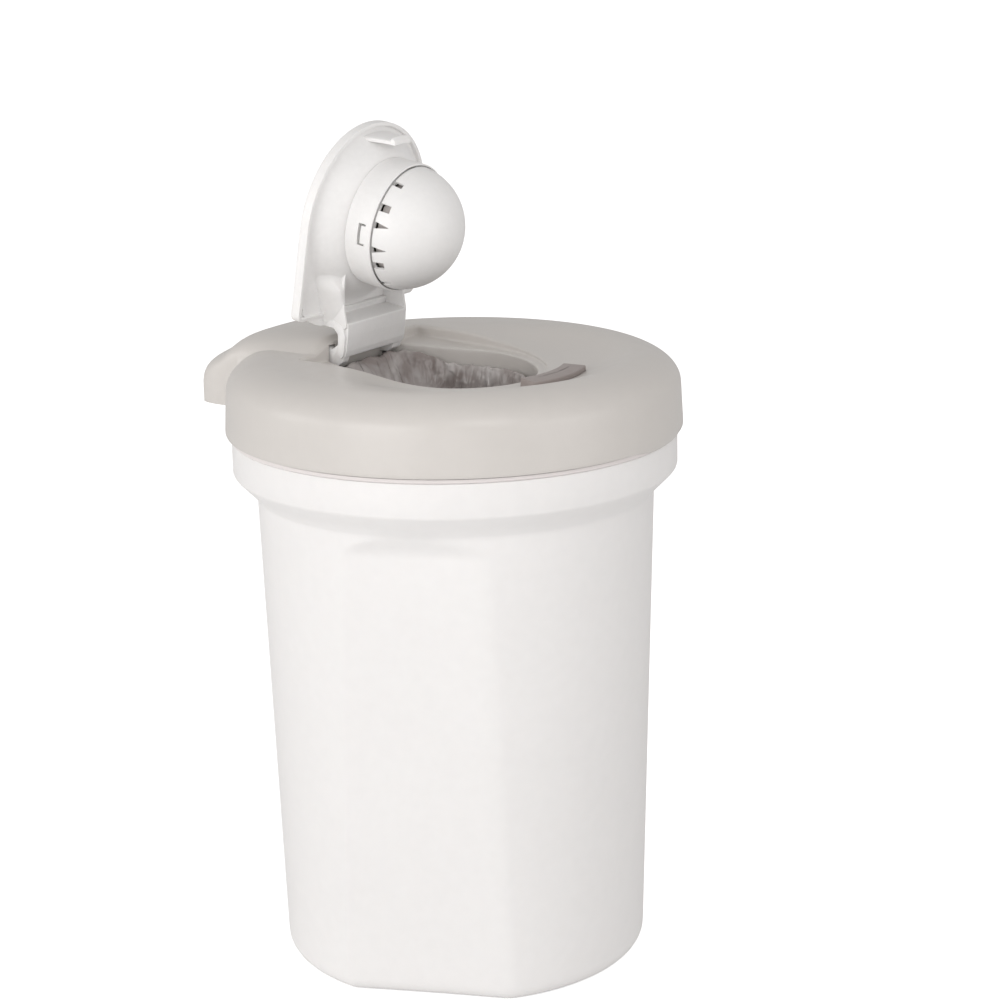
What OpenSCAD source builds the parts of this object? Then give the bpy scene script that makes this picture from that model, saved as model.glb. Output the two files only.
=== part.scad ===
// Nappy bin with a push-button flap, a slotted scent dome and a lift-off lid.
// Millimetres. The origin is on the pail's axis at the floor, the button is on the -Y side.

/* [Pail] */
// Radius of the pail wall where it meets the floor
pail_base_r = 121; // [115:0.5:124]
// Radius of the pail wall under the collar
neck_r = 130.7; // [128:0.1:134]
// Height at which the wall ends and the cone under the collar starts
neck_z = 318; // [290:1:350]
// Outer radius of the collar
collar_r = 146; // [145.5:0.1:146.4]
// Height of the collar band
collar_h = 22.7; // [18.2:0.5:27.7]
// Wall thickness of the pail
pail_wall = 2.4; // [1.8:0.1:2.6]
// Radius of the rounded bottom edge
base_round = 12; // [6:1:14]
// Distance from the axis to a flat side panel at the floor
flat_dist = 107.7; // [106:0.1:112]
// Draft of the flat side panels in degrees
flat_draft = 2.7; // [2:0.1:3.2]
// Turn of each flat panel from the front, in degrees
flat_turn = 68.4; // [60:0.2:90]
// Outer radius of the groove in the underside
foot_groove_r = 92; // [60:1:96]
// Depth of the groove in the underside
foot_groove_h = 3; // [1:0.5:5]

/* [Bag and bag ring] */
// Reach of the bag ring's flange past the collar
bag_ring_over = 1.2; // [0.8:0.1:1.2]
// Thickness of the bag ring's flange
bag_ring_t = 2.6; // [2:0.1:3]
// Width of the bag ring inside the collar's outer face
bag_ring_in = 8; // [8:0.5:10]
// Thickness of the modelled bag film
film_t = 0.8; // [0.5:0.1:0.8]
// Radius of the bag's neck under the throat
bag_neck_r = 60; // [59.5:0.1:60.5]

/* [Lid] */
// Reach of the lid's lower edge past the collar
lid_over = 3.8; // [3.8:0.1:6]
// Height of the lid's lower edge over the pail rim
lid_edge_gap = 3.6; // [3.4:0.1:4]
// Height of the lid's crest over the pail rim
crest_h = 51.3; // [51.3:0.1:52]
// Width of the rounded shoulder, from the crest to the lid's lower edge
shoulder_w = 32.3; // [31:0.1:36]
// Height lost over the rounded shoulder
shoulder_h = 20; // [16:1:24]
// Wall thickness of the lid mouldings
lid_wall = 2.5; // [2.2:0.1:2.6]
// Height of the flap's seat over the pail rim, at the throat's axis
seat_h = 40.7; // [40.7:0.1:41]
// Slope of the flap's seat down to the front, in degrees
seat_tilt = 2.87; // [2.6:0.01:3]
// Depth of the recess round the flap
recess_d = 7.2; // [6:0.1:7.2]
// Radius of the throat
throat_r = 57.8; // [57.8:0.1:59]
// Distance of the throat's centre behind the pail's axis
throat_y = 3.3; // [3.3:0.1:3.5]
// Height of the throat's wall
throat_h = 12; // [10:0.5:12.5]
// Half width of the hinge housing
housing_half = 51; // [50:1:54]
// Distance of the hinge housing's front wall behind the pail's axis
housing_y = 76; // [76:0.1:76.3]
// Angle from the front at which the front snap tab starts, in degrees
tab_from = -4; // [-20:1:0]
// Sweep of the front snap tab, in degrees
tab_sweep = 25; // [10:1:40]
// Number of screws that hold the lid's base
lid_screw_count = 6; // [4:2:8]

/* [Flap] */
// Overlap of the flap's edge over the throat's wall
flap_over = 6.7; // [6.2:0.1:7]
// Distance from the scent dome's axis to the flap's rear edge
flap_tail = 63; // [63:0.1:63.4]
// Height of the flap's plain edge
flap_edge = 7; // [6.5:0.1:7]
// Rise of the domed flap cover over its edge
flap_rise = 10; // [8:0.5:11]
// Wall thickness of the flap mouldings
flap_wall = 2.5; // [2.2:0.1:2.5]
// Angle between the shut flap and the flap at rest, in degrees
open_angle = 82.9; // [75:0.1:83]
// Distance of the hinge pin behind the pail's axis
pin_y = 88.4; // [88:0.1:88.6]
// Height of the hinge pin over the pail rim
pin_h = 53.6; // [53.4:0.1:53.8]
// Diameter of the hinge pin
pin_d = 3.2; // [3:0.1:3.4]
// Half width of the gooseneck
neck_half = 32.5; // [31.5:0.1:32.6]
// Width of each gooseneck arm
arm_w = 6.5; // [5:0.1:6.5]
// Width of the latch tongue
tongue_w = 18; // [14:1:18]

/* [Scent dome] */
// Outer radius of the collar that holds the dome
ring_r = 42.5; // [42:0.1:43]
// Outer radius of the dome
dome_r = 41.2; // [40.9:0.1:41.6]
// Wall thickness of the dome
dome_wall = 1.8; // [1.4:0.1:2]
// Number of vent slots round the dome's rim
vent_count = 12; // [8:4:16]
// Thickness of the scent disc
disc_t = 8; // [5:0.5:9]

/* [Button and latch] */
// Radius at which the button starts, from the throat's axis
button_from = 76; // [75.5:0.1:76.5]
// Width of the button
button_w = 15.5; // [14.5:0.1:16]
// Half sweep of the button, in degrees
button_half = 20; // [17:0.5:20.5]
// Travel of the button and of the latch
press = 3; // [2.6:0.1:3]

/* [Clearances] */
// Gap between parts that move past each other
run_gap = 0.4; // [0.35:0.05:0.45]
// Gap at the seat of a part that rests on another
seat_gap = 0.3; // [0.25:0.05:0.35]
// Radial running clearance of the hinge pin
pin_gap = 0.06; // [0.02:0.01:0.1]

/* [Hidden] */
$fn = 96;

// Heights of the pail and of what rests on it
collar_z = neck_z + collar_r - neck_r;
rim_z = collar_z + collar_h;
bag_ring_r = collar_r + bag_ring_over;
bag_ring_bore = collar_r - bag_ring_in;
lid_r = collar_r + lid_over;
crest_r = lid_r - shoulder_w;
handle_end = lid_r + 25.7;
ring_z = rim_z + seat_gap;
ring_top = ring_z + bag_ring_t;
base_z = ring_top + 2.2;
lid_z = rim_z + lid_edge_gap;
crest_z = rim_z + crest_h;
seat_z = rim_z + seat_h;
pin_z = rim_z + pin_h;
pail_floor = foot_groove_h + pail_wall;

// Lid: the seal, the screws and the hinge
lid_top_r = lid_r - 1.3;
seal_r0 = bag_ring_bore + 2.5;
seal_r1 = bag_ring_r - 1.7;
lid_screw_r = lid_r - 18.8;
flap_half = throat_r + flap_over;
recess_half = flap_half + 1;
recess_y = 2;
recess_tail = housing_y - throat_y - 0.3;
well_half = neck_half + 2.9;
slot_from = neck_half - arm_w - 0.6;
slot_to = neck_half + 1;
bracket_x = slot_from - 3.3;
bracket_t = 2.6;
bracket_z = pin_z - 3.6;
bracket_hole_y = pin_y + 25.6;
guide_screw_x = 37;
guide_screw_y = 79;
boss_r = 3;

// Flap: the pin's place, seen from the flap's own frame
seat_lift = 0.3;
pin_fy = (pin_y - throat_y) * cos(seat_tilt) + (pin_z - seat_z) * sin(seat_tilt);
pin_fz = (pin_z - seat_z) * cos(seat_tilt) - (pin_y - throat_y) * sin(seat_tilt) - seat_lift;
crown_r = throat_r - 0.8;
ring_top_z = -13;
ring_rim_z = -33;
dome_z = -28;
tongue_u = 56.4;
tongue_t = 2.5;
barb_z = -17.6;
nose_u = tongue_u + 0.7;
cheek_y = 31;

// Button and latch, in the lid's own frame
button_to = button_from + button_w;
button_top = 9.4;
flange_z = 2.4;
flange_t = 2;
slider_top = -12;
slider_t = 5;
slider_half = 9;
slider_end = 93;
guide_end = 103;
cam_y = -88;
pocket_u = 64.5;

// White, warm grey and darker grey mouldings
white = [0.93, 0.93, 0.92];
grey = [0.83, 0.81, 0.79];
dark_grey = [0.62, 0.58, 0.57];
steel = [0.70, 0.71, 0.73];

function arc(cx, cy, rx, ry, a0, a1, n) =
    [for (i = [0:n]) let (a = a0 + (a1 - a0) * i / n) [cx + rx * cos(a), cy + ry * sin(a)]];

function mirrored(p) = concat(p, [for (i = [len(p) - 1:-1:0]) [-p[i][0], p[i][1]]]);

// Frame of the flap's seat: the throat's axis, on the tilted seat plane
module seat_frame() {
    translate([0, throat_y, seat_z]) rotate([seat_tilt, 0, 0]) children();
}

// The flap is drawn shut on its seat and then swung open about the hinge pin
module flap_place() {
    translate([0, pin_y, pin_z])
        rotate([-open_angle, 0, 0])
            translate([0, -pin_y, -pin_z])
                seat_frame() translate([0, 0, seat_lift]) children();
}

// Solid of a side view: points are (y, z), drawn over x0..x1
module side_solid(points, x0, x1) {
    translate([x0, 0, 0])
        rotate([90, 0, 90])
            linear_extrude(height = x1 - x0) polygon(points);
}

module screw(head_r, shank_r, length) {
    cylinder(r = head_r, h = 1.8, $fn = 32);
    translate([0, 0, 1.8]) cylinder(r = shank_r, h = length, $fn = 24);
}

// Tube along a list of points, with rings of six sides
function ring_pts(p, t, r) =
    let (a = abs(t[2]) < 0.9 ? [0, 0, 1] : [1, 0, 0],
         u = cross(t, a) / norm(cross(t, a)),
         v = cross(t, u))
    [for (k = [0:5]) p + r * (u * cos(60 * k) + v * sin(60 * k))];

module tube(path, r) {
    n = len(path);
    tangents = [for (i = [0:n - 1])
        let (d = path[min(i + 1, n - 1)] - path[max(i - 1, 0)]) d / norm(d)];
    rings = [for (i = [0:n - 1]) each ring_pts(path[i], tangents[i], r)];
    sides = [for (i = [0:n - 2], k = [0:5])
        let (a = i * 6 + k, b = i * 6 + (k + 1) % 6)
        each [[a, b, b + 6], [a, b + 6, a + 6]]];
    ends = [for (k = [1:4]) each [[0, k + 1, k],
        [(n - 1) * 6, (n - 1) * 6 + k, (n - 1) * 6 + k + 1]]];
    polyhedron(rings, concat(ends, sides));
}

// Compression spring along Z, from z = 0 to z = length
module coil_spring(radius, wire, length, turns) {
    steps = turns * 12;
    tube([for (i = [0:steps])
        [radius * cos(30 * i), radius * sin(30 * i),
         wire + (length - 2 * wire) * i / steps]], wire);
}

// Pail

module pail_shape(inset, top) {
    r_low = pail_base_r - inset;
    round_r = base_round - inset;
    rotate_extrude()
        polygon(concat(
            [[0, inset]],
            arc(r_low - round_r, inset + round_r, round_r, round_r, -90, 0, 6),
            [[neck_r - inset, neck_z + inset * 0.41],
             [collar_r - inset, collar_z + inset * 0.41],
             [collar_r - inset, top], [0, top]]));
}

module flat_panel_cut(inset) {
    for (s = [-1, 1])
        rotate([0, 0, s * flat_turn])
            translate([0, -flat_dist + inset, 0])
                rotate([flat_draft, 0, 0])
                    translate([-100, -60, -20])
                        cube([200, 60, neck_z + 10]);
}

module pail_body() {
    color(white)
    difference() {
        pail_shape(0, rim_z);
        flat_panel_cut(0);
        difference() {
            pail_shape(pail_wall, rim_z + 5);
            flat_panel_cut(pail_wall);
            cylinder(r = pail_base_r + 5, h = pail_floor);
        }
        translate([0, 0, -1]) difference() {
            cylinder(r = foot_groove_r, h = foot_groove_h + 1);
            translate([0, 0, -1]) cylinder(r = foot_groove_r - 20, h = foot_groove_h + 3);
        }
    }
}

// Bag: a thin film, cuffed in the collar, that rises to the throat and falls to the floor

function bag_path() = [
    [collar_r - pail_wall - 1.2, rim_z - 4],
    [collar_r - pail_wall - 1.2, collar_z + 4],
    [bag_ring_bore - 3, collar_z + 1],
    [collar_r - 26, rim_z - 14],
    [collar_r - 56, rim_z - 6],
    [bag_neck_r + 6, rim_z - 1],
    [bag_neck_r + 1, rim_z + 7.5],
    [bag_neck_r - 0.6, rim_z + 7.5],
    [bag_neck_r + 4, rim_z - 5],
    [bag_neck_r + 22, rim_z - 20],
    [flat_dist - 7, rim_z - 45],
    [flat_dist - 4, 250],
    [flat_dist - 9, 40],
    [flat_dist - 18, 12],
    [60, pail_floor + 1],
    [0, pail_floor + seat_gap]];

function film_side(p, t) = [for (i = [0:len(p) - 1])
    let (a = p[max(i - 1, 0)], b = p[min(i + 1, len(p) - 1)], d = b - a, l = norm(d))
    p[i] + t * [-d[1], d[0]] / l];

module liner_bag() {
    path = bag_path();
    far = film_side(path, -film_t);
    color([0.75, 0.73, 0.72])
    rotate_extrude()
        polygon(concat(path, [[0, pail_floor + seat_gap + film_t]],
            [for (i = [len(far) - 2:-1:0]) far[i]]));
}

module bag_ring() {
    color(white)
    rotate_extrude() polygon([
        [bag_ring_bore, ring_top], [bag_ring_bore, collar_z + 6],
        [bag_ring_bore + 2.4, collar_z + 6], [bag_ring_bore + 2.4, ring_z],
        [bag_ring_r - 0.6, ring_z], [bag_ring_r, ring_z + 0.6],
        [bag_ring_r, ring_top]]);
}

// Lid cover: a round shell with a sunk top, a throat, a hinge housing and a rear handle

module lid_shape(inset, bottom) {
    rotate_extrude()
        polygon(concat(
            [[0, bottom], [lid_r - inset, bottom]],
            arc(crest_r, crest_z - shoulder_h, lid_top_r - crest_r - inset,
                shoulder_h - inset, 0, 90, 12),
            [[0, crest_z - inset]]));
}

// The sunk top, drawn down by drop
module top_bowl(drop) {
    seat_frame() rotate_extrude() polygon([
        [0, recess_d - drop], [crest_r - 51.5, recess_d - drop],
        [crest_r - 37.5, recess_d + 0.6 - drop],
        [crest_r - 22.5, recess_d + 2.8 - drop], [crest_r - 9.5, recess_d + 6.3 - drop],
        [crest_r + 4.5, recess_d + 11.8 - drop], [crest_r + 4.5, 40], [0, 40]]);
}

module recess_outline(grow) {
    translate([0, recess_y]) circle(r = recess_half + grow);
    translate([-recess_half - grow, recess_y])
        square([2 * (recess_half + grow), recess_tail - recess_y + grow]);
}

// Throat with straight sides that run back to the hinge
module opening_outline(grow) {
    a = 22;
    r = throat_r + grow;
    circle(r = r);
    polygon(mirrored([
        [r * cos(a), r * sin(a)],
        [well_half + grow, recess_tail + grow]]));
}

// Latch pocket at the front of the throat
module pocket_box(grow) {
    translate([-tongue_w / 2 - 1.5 - grow, -pocket_u - grow, 0])
        cube([tongue_w + 3 + 2 * grow, 20, 1]);
}

module housing_side(drop) {
    e = handle_end;
    side_solid([
        [housing_y + drop, rim_z + 37.8 - drop * 6],
        [housing_y + drop, rim_z + 55], [housing_y + 2 + drop, rim_z + 58.5 - drop],
        [housing_y + 6, rim_z + 60 - drop], [housing_y + 44, rim_z + 59.8 - drop],
        [e - 37.5, rim_z + 58 - drop], [e - 28.5, rim_z + 55 - drop],
        [e - 20.5, rim_z + 49 - drop], [e - 15.5, rim_z + 46.5 - drop],
        [e - 9.5, rim_z + 43.5 - drop], [e - 4.5, rim_z + 41 - drop],
        [e - 1.5 - drop, rim_z + 36 - drop], [e - drop, rim_z + 30 - drop],
        [e - drop, rim_z + 9.5 - drop], [e - 29.5, rim_z + 9.5 - drop],
        [e - 45.5, rim_z + 38 - drop * 6]],
        -housing_half - 10, housing_half + 10);
}

module housing_crown(drop) {
    h = housing_half;
    rotate([90, 0, 0]) translate([0, 0, -200]) linear_extrude(height = 200)
        polygon(mirrored([
            [0, rim_z + 60.2 - drop], [20, rim_z + 59.6 - drop],
            [35, rim_z + 58 - drop], [h - 8 - drop / 2, rim_z + 55.8 - drop],
            [h - 3.5 - drop, rim_z + 53 - drop], [h - 1 - drop, rim_z + 49.5 - drop],
            [h - drop, rim_z + 45], [h - drop, rim_z - 20]]));
}

module housing_plan(drop) {
    h = housing_half - drop;
    linear_extrude(height = 500) polygon(mirrored([
        [h - 6, housing_y], [h - 2, housing_y + 2], [h, housing_y + 6],
        [h, handle_end - 15.5], [h - 1.5, handle_end - 7.5],
        [h - 4, handle_end - 2.5], [h - 9, handle_end + 0.5]]));
}

module housing(drop) {
    intersection() {
        housing_side(drop);
        housing_crown(drop);
        housing_plan(drop);
    }
}

// Screw bosses under the lid: (x, y) places and the height at which they end
function bracket_holes() = [[-18, bracket_hole_y], [18, bracket_hole_y]];

module lid_bosses() {
    for (p = bracket_holes())
        translate([p[0], p[1], bracket_z + 2.5])
            cylinder(r = 3.6, h = 12, $fn = 32);
    for (i = [0:lid_screw_count - 1])
        rotate([0, 0, 30 + 360 * i / lid_screw_count])
            translate([0, lid_screw_r, base_z + 5])
                cylinder(r = 4, h = 45, $fn = 32);
    seat_frame()
        for (s = [-1, 1])
            translate([s * guide_screw_x, -guide_screw_y, -6.1]) cylinder(r = 4, h = 16, $fn = 32);
}

module lid_boss_bores() {
    for (p = bracket_holes())
        translate([p[0], p[1], bracket_z + 2]) cylinder(r = 1.3, h = 4.7, $fn = 24);
    for (i = [0:lid_screw_count - 1])
        rotate([0, 0, 30 + 360 * i / lid_screw_count])
            translate([0, lid_screw_r, base_z]) cylinder(r = 1.3, h = 14, $fn = 24);
    seat_frame()
        for (s = [-1, 1])
            translate([s * guide_screw_x, -guide_screw_y, -10]) cylinder(r = 1.3, h = 12, $fn = 24);
}

module button_outline(grow) {
    a = button_half;
    apex = grow / sin(a);
    difference() {
        intersection() {
            circle(r = button_to + grow);
            polygon([[0, apex], [-250 * sin(a), apex - 250 * cos(a)],
                [250 * sin(a), apex - 250 * cos(a)]]);
        }
        circle(r = button_from - grow);
    }
}

module front_tab() {
    rotate([0, 0, tab_from - 90])
        rotate_extrude(angle = tab_sweep)
            polygon([[bag_ring_r + 0.5, rim_z + 1], [bag_ring_r + 1, rim_z + 0.6],
                [lid_r - 0.4, lid_z + 3], [bag_ring_r + 0.5, lid_z + 3]]);
}

module lid_shell() {
    difference() {
        lid_shape(0, lid_z);
        top_bowl(0);
        difference() {
            lid_shape(lid_wall, lid_z - 1);
            top_bowl(lid_wall);
            seat_frame() {
                translate([0, 0, -lid_wall])
                    linear_extrude(height = 12) recess_outline(lid_wall);
                translate([0, 0, -throat_h])
                    linear_extrude(height = 14) opening_outline(lid_wall);
                translate([0, 0, -20])
                    scale([1, 1, 20]) pocket_box(2);
            }
            lid_bosses();
        }
    }
}

module lid_cover() {
    color(grey)
    difference() {
        union() {
            lid_shell();
            housing(0);
            front_tab();
        }
        difference() {
            housing(lid_wall);
            lid_bosses();
            difference() {
                cylinder(r = lid_r, h = crest_z + 40);
                cylinder(r = lid_top_r - lid_wall, h = crest_z + 50);
            }
        }
        seat_frame() {
            linear_extrude(height = 30) recess_outline(0);
            translate([0, 0, -45]) linear_extrude(height = 46) opening_outline(0);
            translate([0, 0, -24]) scale([1, 1, 26]) pocket_box(0);
            translate([-6.4, -pocket_u - 6, slider_top - slider_t - run_gap])
                cube([12.8, 12, slider_t + 2 * run_gap]);
            translate([0, 0, -10]) linear_extrude(height = 30) button_outline(run_gap);
        }
        translate([-well_half, housing_y - 3, rim_z + 10])
            cube([2 * well_half, 40, 27.8]);
        for (s = [-1, 1]) {
            translate([s > 0 ? slot_from : -slot_to, housing_y - 2, rim_z + 20])
                cube([slot_to - slot_from, 6, 34.5]);
            translate([s > 0 ? slot_from : -slot_to - 2, pin_y - 5, pin_z - 10])
                cube([slot_to + 2 - slot_from, 10, 13.5]);
        }
        lid_boss_bores();
    }
}

// Lid base: a plate that closes the lid from below and carries the funnel and the hinge well

module lid_base() {
    color(white)
    difference() {
        union() {
            rotate_extrude() polygon([
                [64, rim_z + 15], [68, rim_z + 15], [lid_screw_r - 1, base_z + 2.2],
                [lid_r - lid_wall - 0.6, base_z + 2.2],
                [lid_r - lid_wall - 0.6, base_z], [lid_screw_r - 2, base_z], [64, rim_z + 12.8]]);
            seat_frame()
                rotate_extrude() polygon([
                    [throat_r + 0.3, -throat_h - 0.3], [throat_r + 2.3, -throat_h - 0.3],
                    [71, -26], [68, -28]]);
            translate([-well_half - 2, 50, rim_z + 10])
                cube([2 * well_half + 4, 58, 14]);
            for (i = [0:lid_screw_count - 1])
                rotate([0, 0, 30 + 360 * i / lid_screw_count])
                    translate([0, lid_screw_r, base_z]) cylinder(r = 4, h = 5, $fn = 32);
        }
        translate([-well_half, 40, rim_z + 20]) cube([2 * well_half, 66, 40]);
        seat_frame()
            rotate_extrude() polygon([
                [0, 20], [throat_r + 0.3, 20], [throat_r + 0.3, -throat_h - 0.3],
                [66, -28], [66, -60], [0, -60]]);
        translate([0, 0, base_z - 20]) cylinder(r = bag_neck_r + 5, h = 30);
        seat_frame()
            translate([-slider_half - 4, -80, slider_top - slider_t - 4])
                cube([2 * slider_half + 8, 34, 30]);
        for (i = [0:lid_screw_count - 1])
            rotate([0, 0, 30 + 360 * i / lid_screw_count])
                translate([0, lid_screw_r, base_z - 1]) {
                    cylinder(r = 1.7, h = 8, $fn = 24);
                    cylinder(r = 3.6, h = 3, $fn = 32);
                }
    }
}

module lid_seal() {
    color([0.45, 0.45, 0.45])
    rotate_extrude() polygon([
        [seal_r0, base_z], [seal_r0 + 1, ring_top + seat_gap],
        [seal_r1 - 1, ring_top + seat_gap], [seal_r1, base_z]]);
}

module lid_screws() {
    color(steel)
    for (i = [0:lid_screw_count - 1])
        rotate([0, 0, 30 + 360 * i / lid_screw_count])
            translate([0, lid_screw_r, base_z + 0.2]) screw(3.3, 1.3, 9);
}

// Hinge

module hinge_bracket() {
    color(dark_grey)
    difference() {
        union() {
            for (s = [-1, 1])
                translate([s > 0 ? bracket_x : -bracket_x - bracket_t, pin_y - 3.6, bracket_z])
                    cube([bracket_t, 35.6, 6.2]);
            translate([-bracket_x - 1, bracket_hole_y - 7, bracket_z])
                cube([2 * bracket_x + 2, 13, 2.5]);
        }
        translate([-50, pin_y, pin_z]) rotate([0, 90, 0])
            cylinder(r = pin_d / 2 + pin_gap, h = 100, $fn = 48);
        for (p = bracket_holes())
            translate([p[0], p[1], bracket_z - 1]) cylinder(r = 1.7, h = 6, $fn = 24);
    }
}

module bracket_screws() {
    color(steel)
    for (p = bracket_holes())
        translate([p[0], p[1], bracket_z - 1.8]) screw(3, 1.3, 6.5);
}

module hinge_pin() {
    r = pin_d / 2;
    x = neck_half + 0.3;
    color(steel)
    translate([0, pin_y, pin_z]) rotate([0, 90, 0]) rotate_extrude() polygon([
        [0, -x - 1.4], [3, -x - 1.4], [3, -x], [r, -x], [r, x],
        [r - 0.4, x], [r - 0.4, x + 1], [r, x + 1], [r, x + 1.9], [0, x + 1.9]]);
}

module pin_clip() {
    color(steel)
    translate([neck_half + 0.4, pin_y, pin_z]) rotate([0, 90, 0])
        difference() {
            cylinder(r = 3, h = 0.8, $fn = 48);
            translate([0, 0, -1]) cylinder(r = pin_d / 2 - 0.35, h = 3, $fn = 48);
            translate([0, -1, -1]) cube([6, 2, 3]);
        }
}

// Torsion spring on the pin: one leg on the bracket, one leg on the arm's peg
module hinge_spring() {
    r = 2.5;
    turns = 7;
    x0 = 6;
    x1 = 17;
    steps = turns * 12;
    coil = [for (i = [0:steps])
        [x0 + (x1 - x0) * i / steps, r * sin(30 * i), r * cos(30 * i)]];
    color(steel)
    translate([0, pin_y, pin_z])
        tube(concat([[x0, 24, -0.6], [x0, 19, -0.6], [x0, 4, 2.2]], coil,
            [[x1 + 0.6, -3.5, 1.2], [x1 + 1.6, -5, 0], [x1 + 2.2, -6.2, -1.6],
             [x1 + 3.2, -6.4, -3.1], [x1 + 4.2, -6.6, -3.2]]), 0.45);
}

// Button and latch

module latch_guide() {
    z = slider_top - slider_t - seat_gap - 2;
    color(dark_grey)
    seat_frame()
    difference() {
        union() {
            translate([-slider_half - 2.4, -guide_end, z])
                cube([2 * slider_half + 4.8, guide_end - pocket_u - 2.6, 9.5]);
            translate([-41, -84, -8.5]) cube([82, 10, 2.4]);
            for (s = [-1, 1])
                translate([s * (slider_half + 1.2) - 1.2, -84, z]) cube([2.4, 10, 12]);
        }
        translate([-slider_half - run_gap, -guide_end + 2, z + 2])
            cube([2 * (slider_half + run_gap), 50, 20]);
        translate([-slider_half - run_gap, -85, z + 2])
            cube([2 * (slider_half + run_gap), 12, 20]);
        for (s = [-1, 1])
            translate([s * guide_screw_x, -guide_screw_y, -12]) cylinder(r = 1.7, h = 8, $fn = 24);
    }
}

module guide_screws() {
    color(steel)
    seat_frame()
        for (s = [-1, 1])
            translate([s * guide_screw_x, -guide_screw_y, -10.3]) screw(3, 1.3, 8);
}

module latch_slider() {
    z = slider_top - slider_t;
    color(white)
    seat_frame()
    difference() {
        union() {
            translate([-slider_half, -slider_end, z])
                cube([2 * slider_half, slider_end - 70.2, slider_t]);
            side_solid([[-71, slider_top], [-nose_u - 1.5, slider_top],
                [-nose_u, slider_top - 1.5], [-nose_u, z], [-71, z]], -6, 6);
        }
        side_solid([[cam_y, slider_top + 1], [cam_y, slider_top],
            [cam_y + slider_t, z], [cam_y + slider_t, z - 1], [cam_y + 11.3, z - 1],
            [cam_y + 11.3, slider_top + 1]], -6.4, 6.4);
    }
}

module latch_spring() {
    color(steel)
    seat_frame()
        translate([0, -slider_end - 0.1, slider_top - slider_t / 2])
            rotate([90, 0, 0]) coil_spring(1.7, 0.3, guide_end - 2 - slider_end - 0.2, 5);
}

module button() {
    color(dark_grey)
    seat_frame()
    difference() {
        union() {
            translate([0, 0, flange_z + flange_t])
                linear_extrude(height = button_top - flange_z - flange_t) button_outline(0);
            translate([0, 0, flange_z])
                linear_extrude(height = flange_t) button_outline(1.4);
            side_solid([[cam_y + 0.42, flange_z + 1], [cam_y + 0.42, slider_top],
                [cam_y + 2.42, slider_top - 2], [cam_y + 5, slider_top - 2],
                [cam_y + 5, flange_z + 1]], -5.6, 5.6);
        }
        translate([0, 0, flange_z - 1])
            linear_extrude(height = 5.8) difference() {
                button_outline(-2.2);
                translate([-9, -100]) square([18, 40]);
            }
    }
}

module button_springs() {
    color(steel)
    seat_frame()
        for (s = [-1, 1])
            rotate([0, 0, s * 14]) translate([0, -83, -5.9])
                coil_spring(2.2, 0.35, 5.7 + flange_z + 4.8, 5);
}

// Flap, drawn in its own frame: z = 0 is the plane of the brim, the tongue is at -y

module flap_outline(grow) {
    translate([0, recess_y]) circle(r = flap_half + grow);
    translate([-flap_half - grow, recess_y])
        square([2 * (flap_half + grow), flap_tail - recess_y + grow]);
    translate([-neck_half - flap_wall - grow, 0])
        square([2 * (neck_half + flap_wall + grow), flap_tail + 6.8 + grow]);
}

// The domed top: a ball at the front that runs out into a long round back
module flap_dome(inset) {
    ball = (flap_half * flap_half + flap_rise * flap_rise) / (2 * flap_rise);
    top = flap_edge + flap_rise - ball;
    intersection() {
        linear_extrude(height = 40) flap_outline(-inset);
        union() {
            intersection() {
                translate([0, recess_y, top]) sphere(r = ball - inset, $fn = 128);
                translate([-100, -100, 0]) cube([200, 100 + recess_y, 60]);
            }
            translate([0, recess_y, top]) rotate([-90, 0, 0])
                cylinder(r = ball - inset, h = 90, $fn = 128);
        }
    }
}

module flap_cover() {
    color(white)
    flap_place()
    difference() {
        flap_dome(0);
        translate([0, 0, -1]) intersection() {
            linear_extrude(height = 50) flap_outline(-flap_wall);
            translate([0, 0, 1]) union() {
                flap_dome(flap_wall);
                translate([0, 0, -2]) linear_extrude(height = 6) flap_outline(-flap_wall);
            }
        }
        translate([-neck_half - 3, flap_tail - 8, -1]) cube([2 * neck_half + 6, 20, 14]);
    }
    flap_place()
    difference() {
        intersection() {
            flap_screw_places() translate([0, 0, ring_top_z + 2.8])
                cylinder(r = 3.6, h = 40, $fn = 32);
            translate([0, 0, -30]) union() {
                cylinder(r = 50, h = 31);
                translate([0, 0, 30]) flap_dome(1);
            }
        }
        flap_screw_places() translate([0, 0, ring_top_z + 2])
            cylinder(r = 1.3, h = 12, $fn = 24);
    }
}

// Side view of the gooseneck: (y, z), measured from the pin
function neck_outer() = [
    [-21, 4], [-21.2, -15], [-20, -20.5], [-17, -24], [-12, -25.8], [-2.5, -26.2],
    [5.4, -24.4], [9, -20.6], [9.8, -15]];

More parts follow.
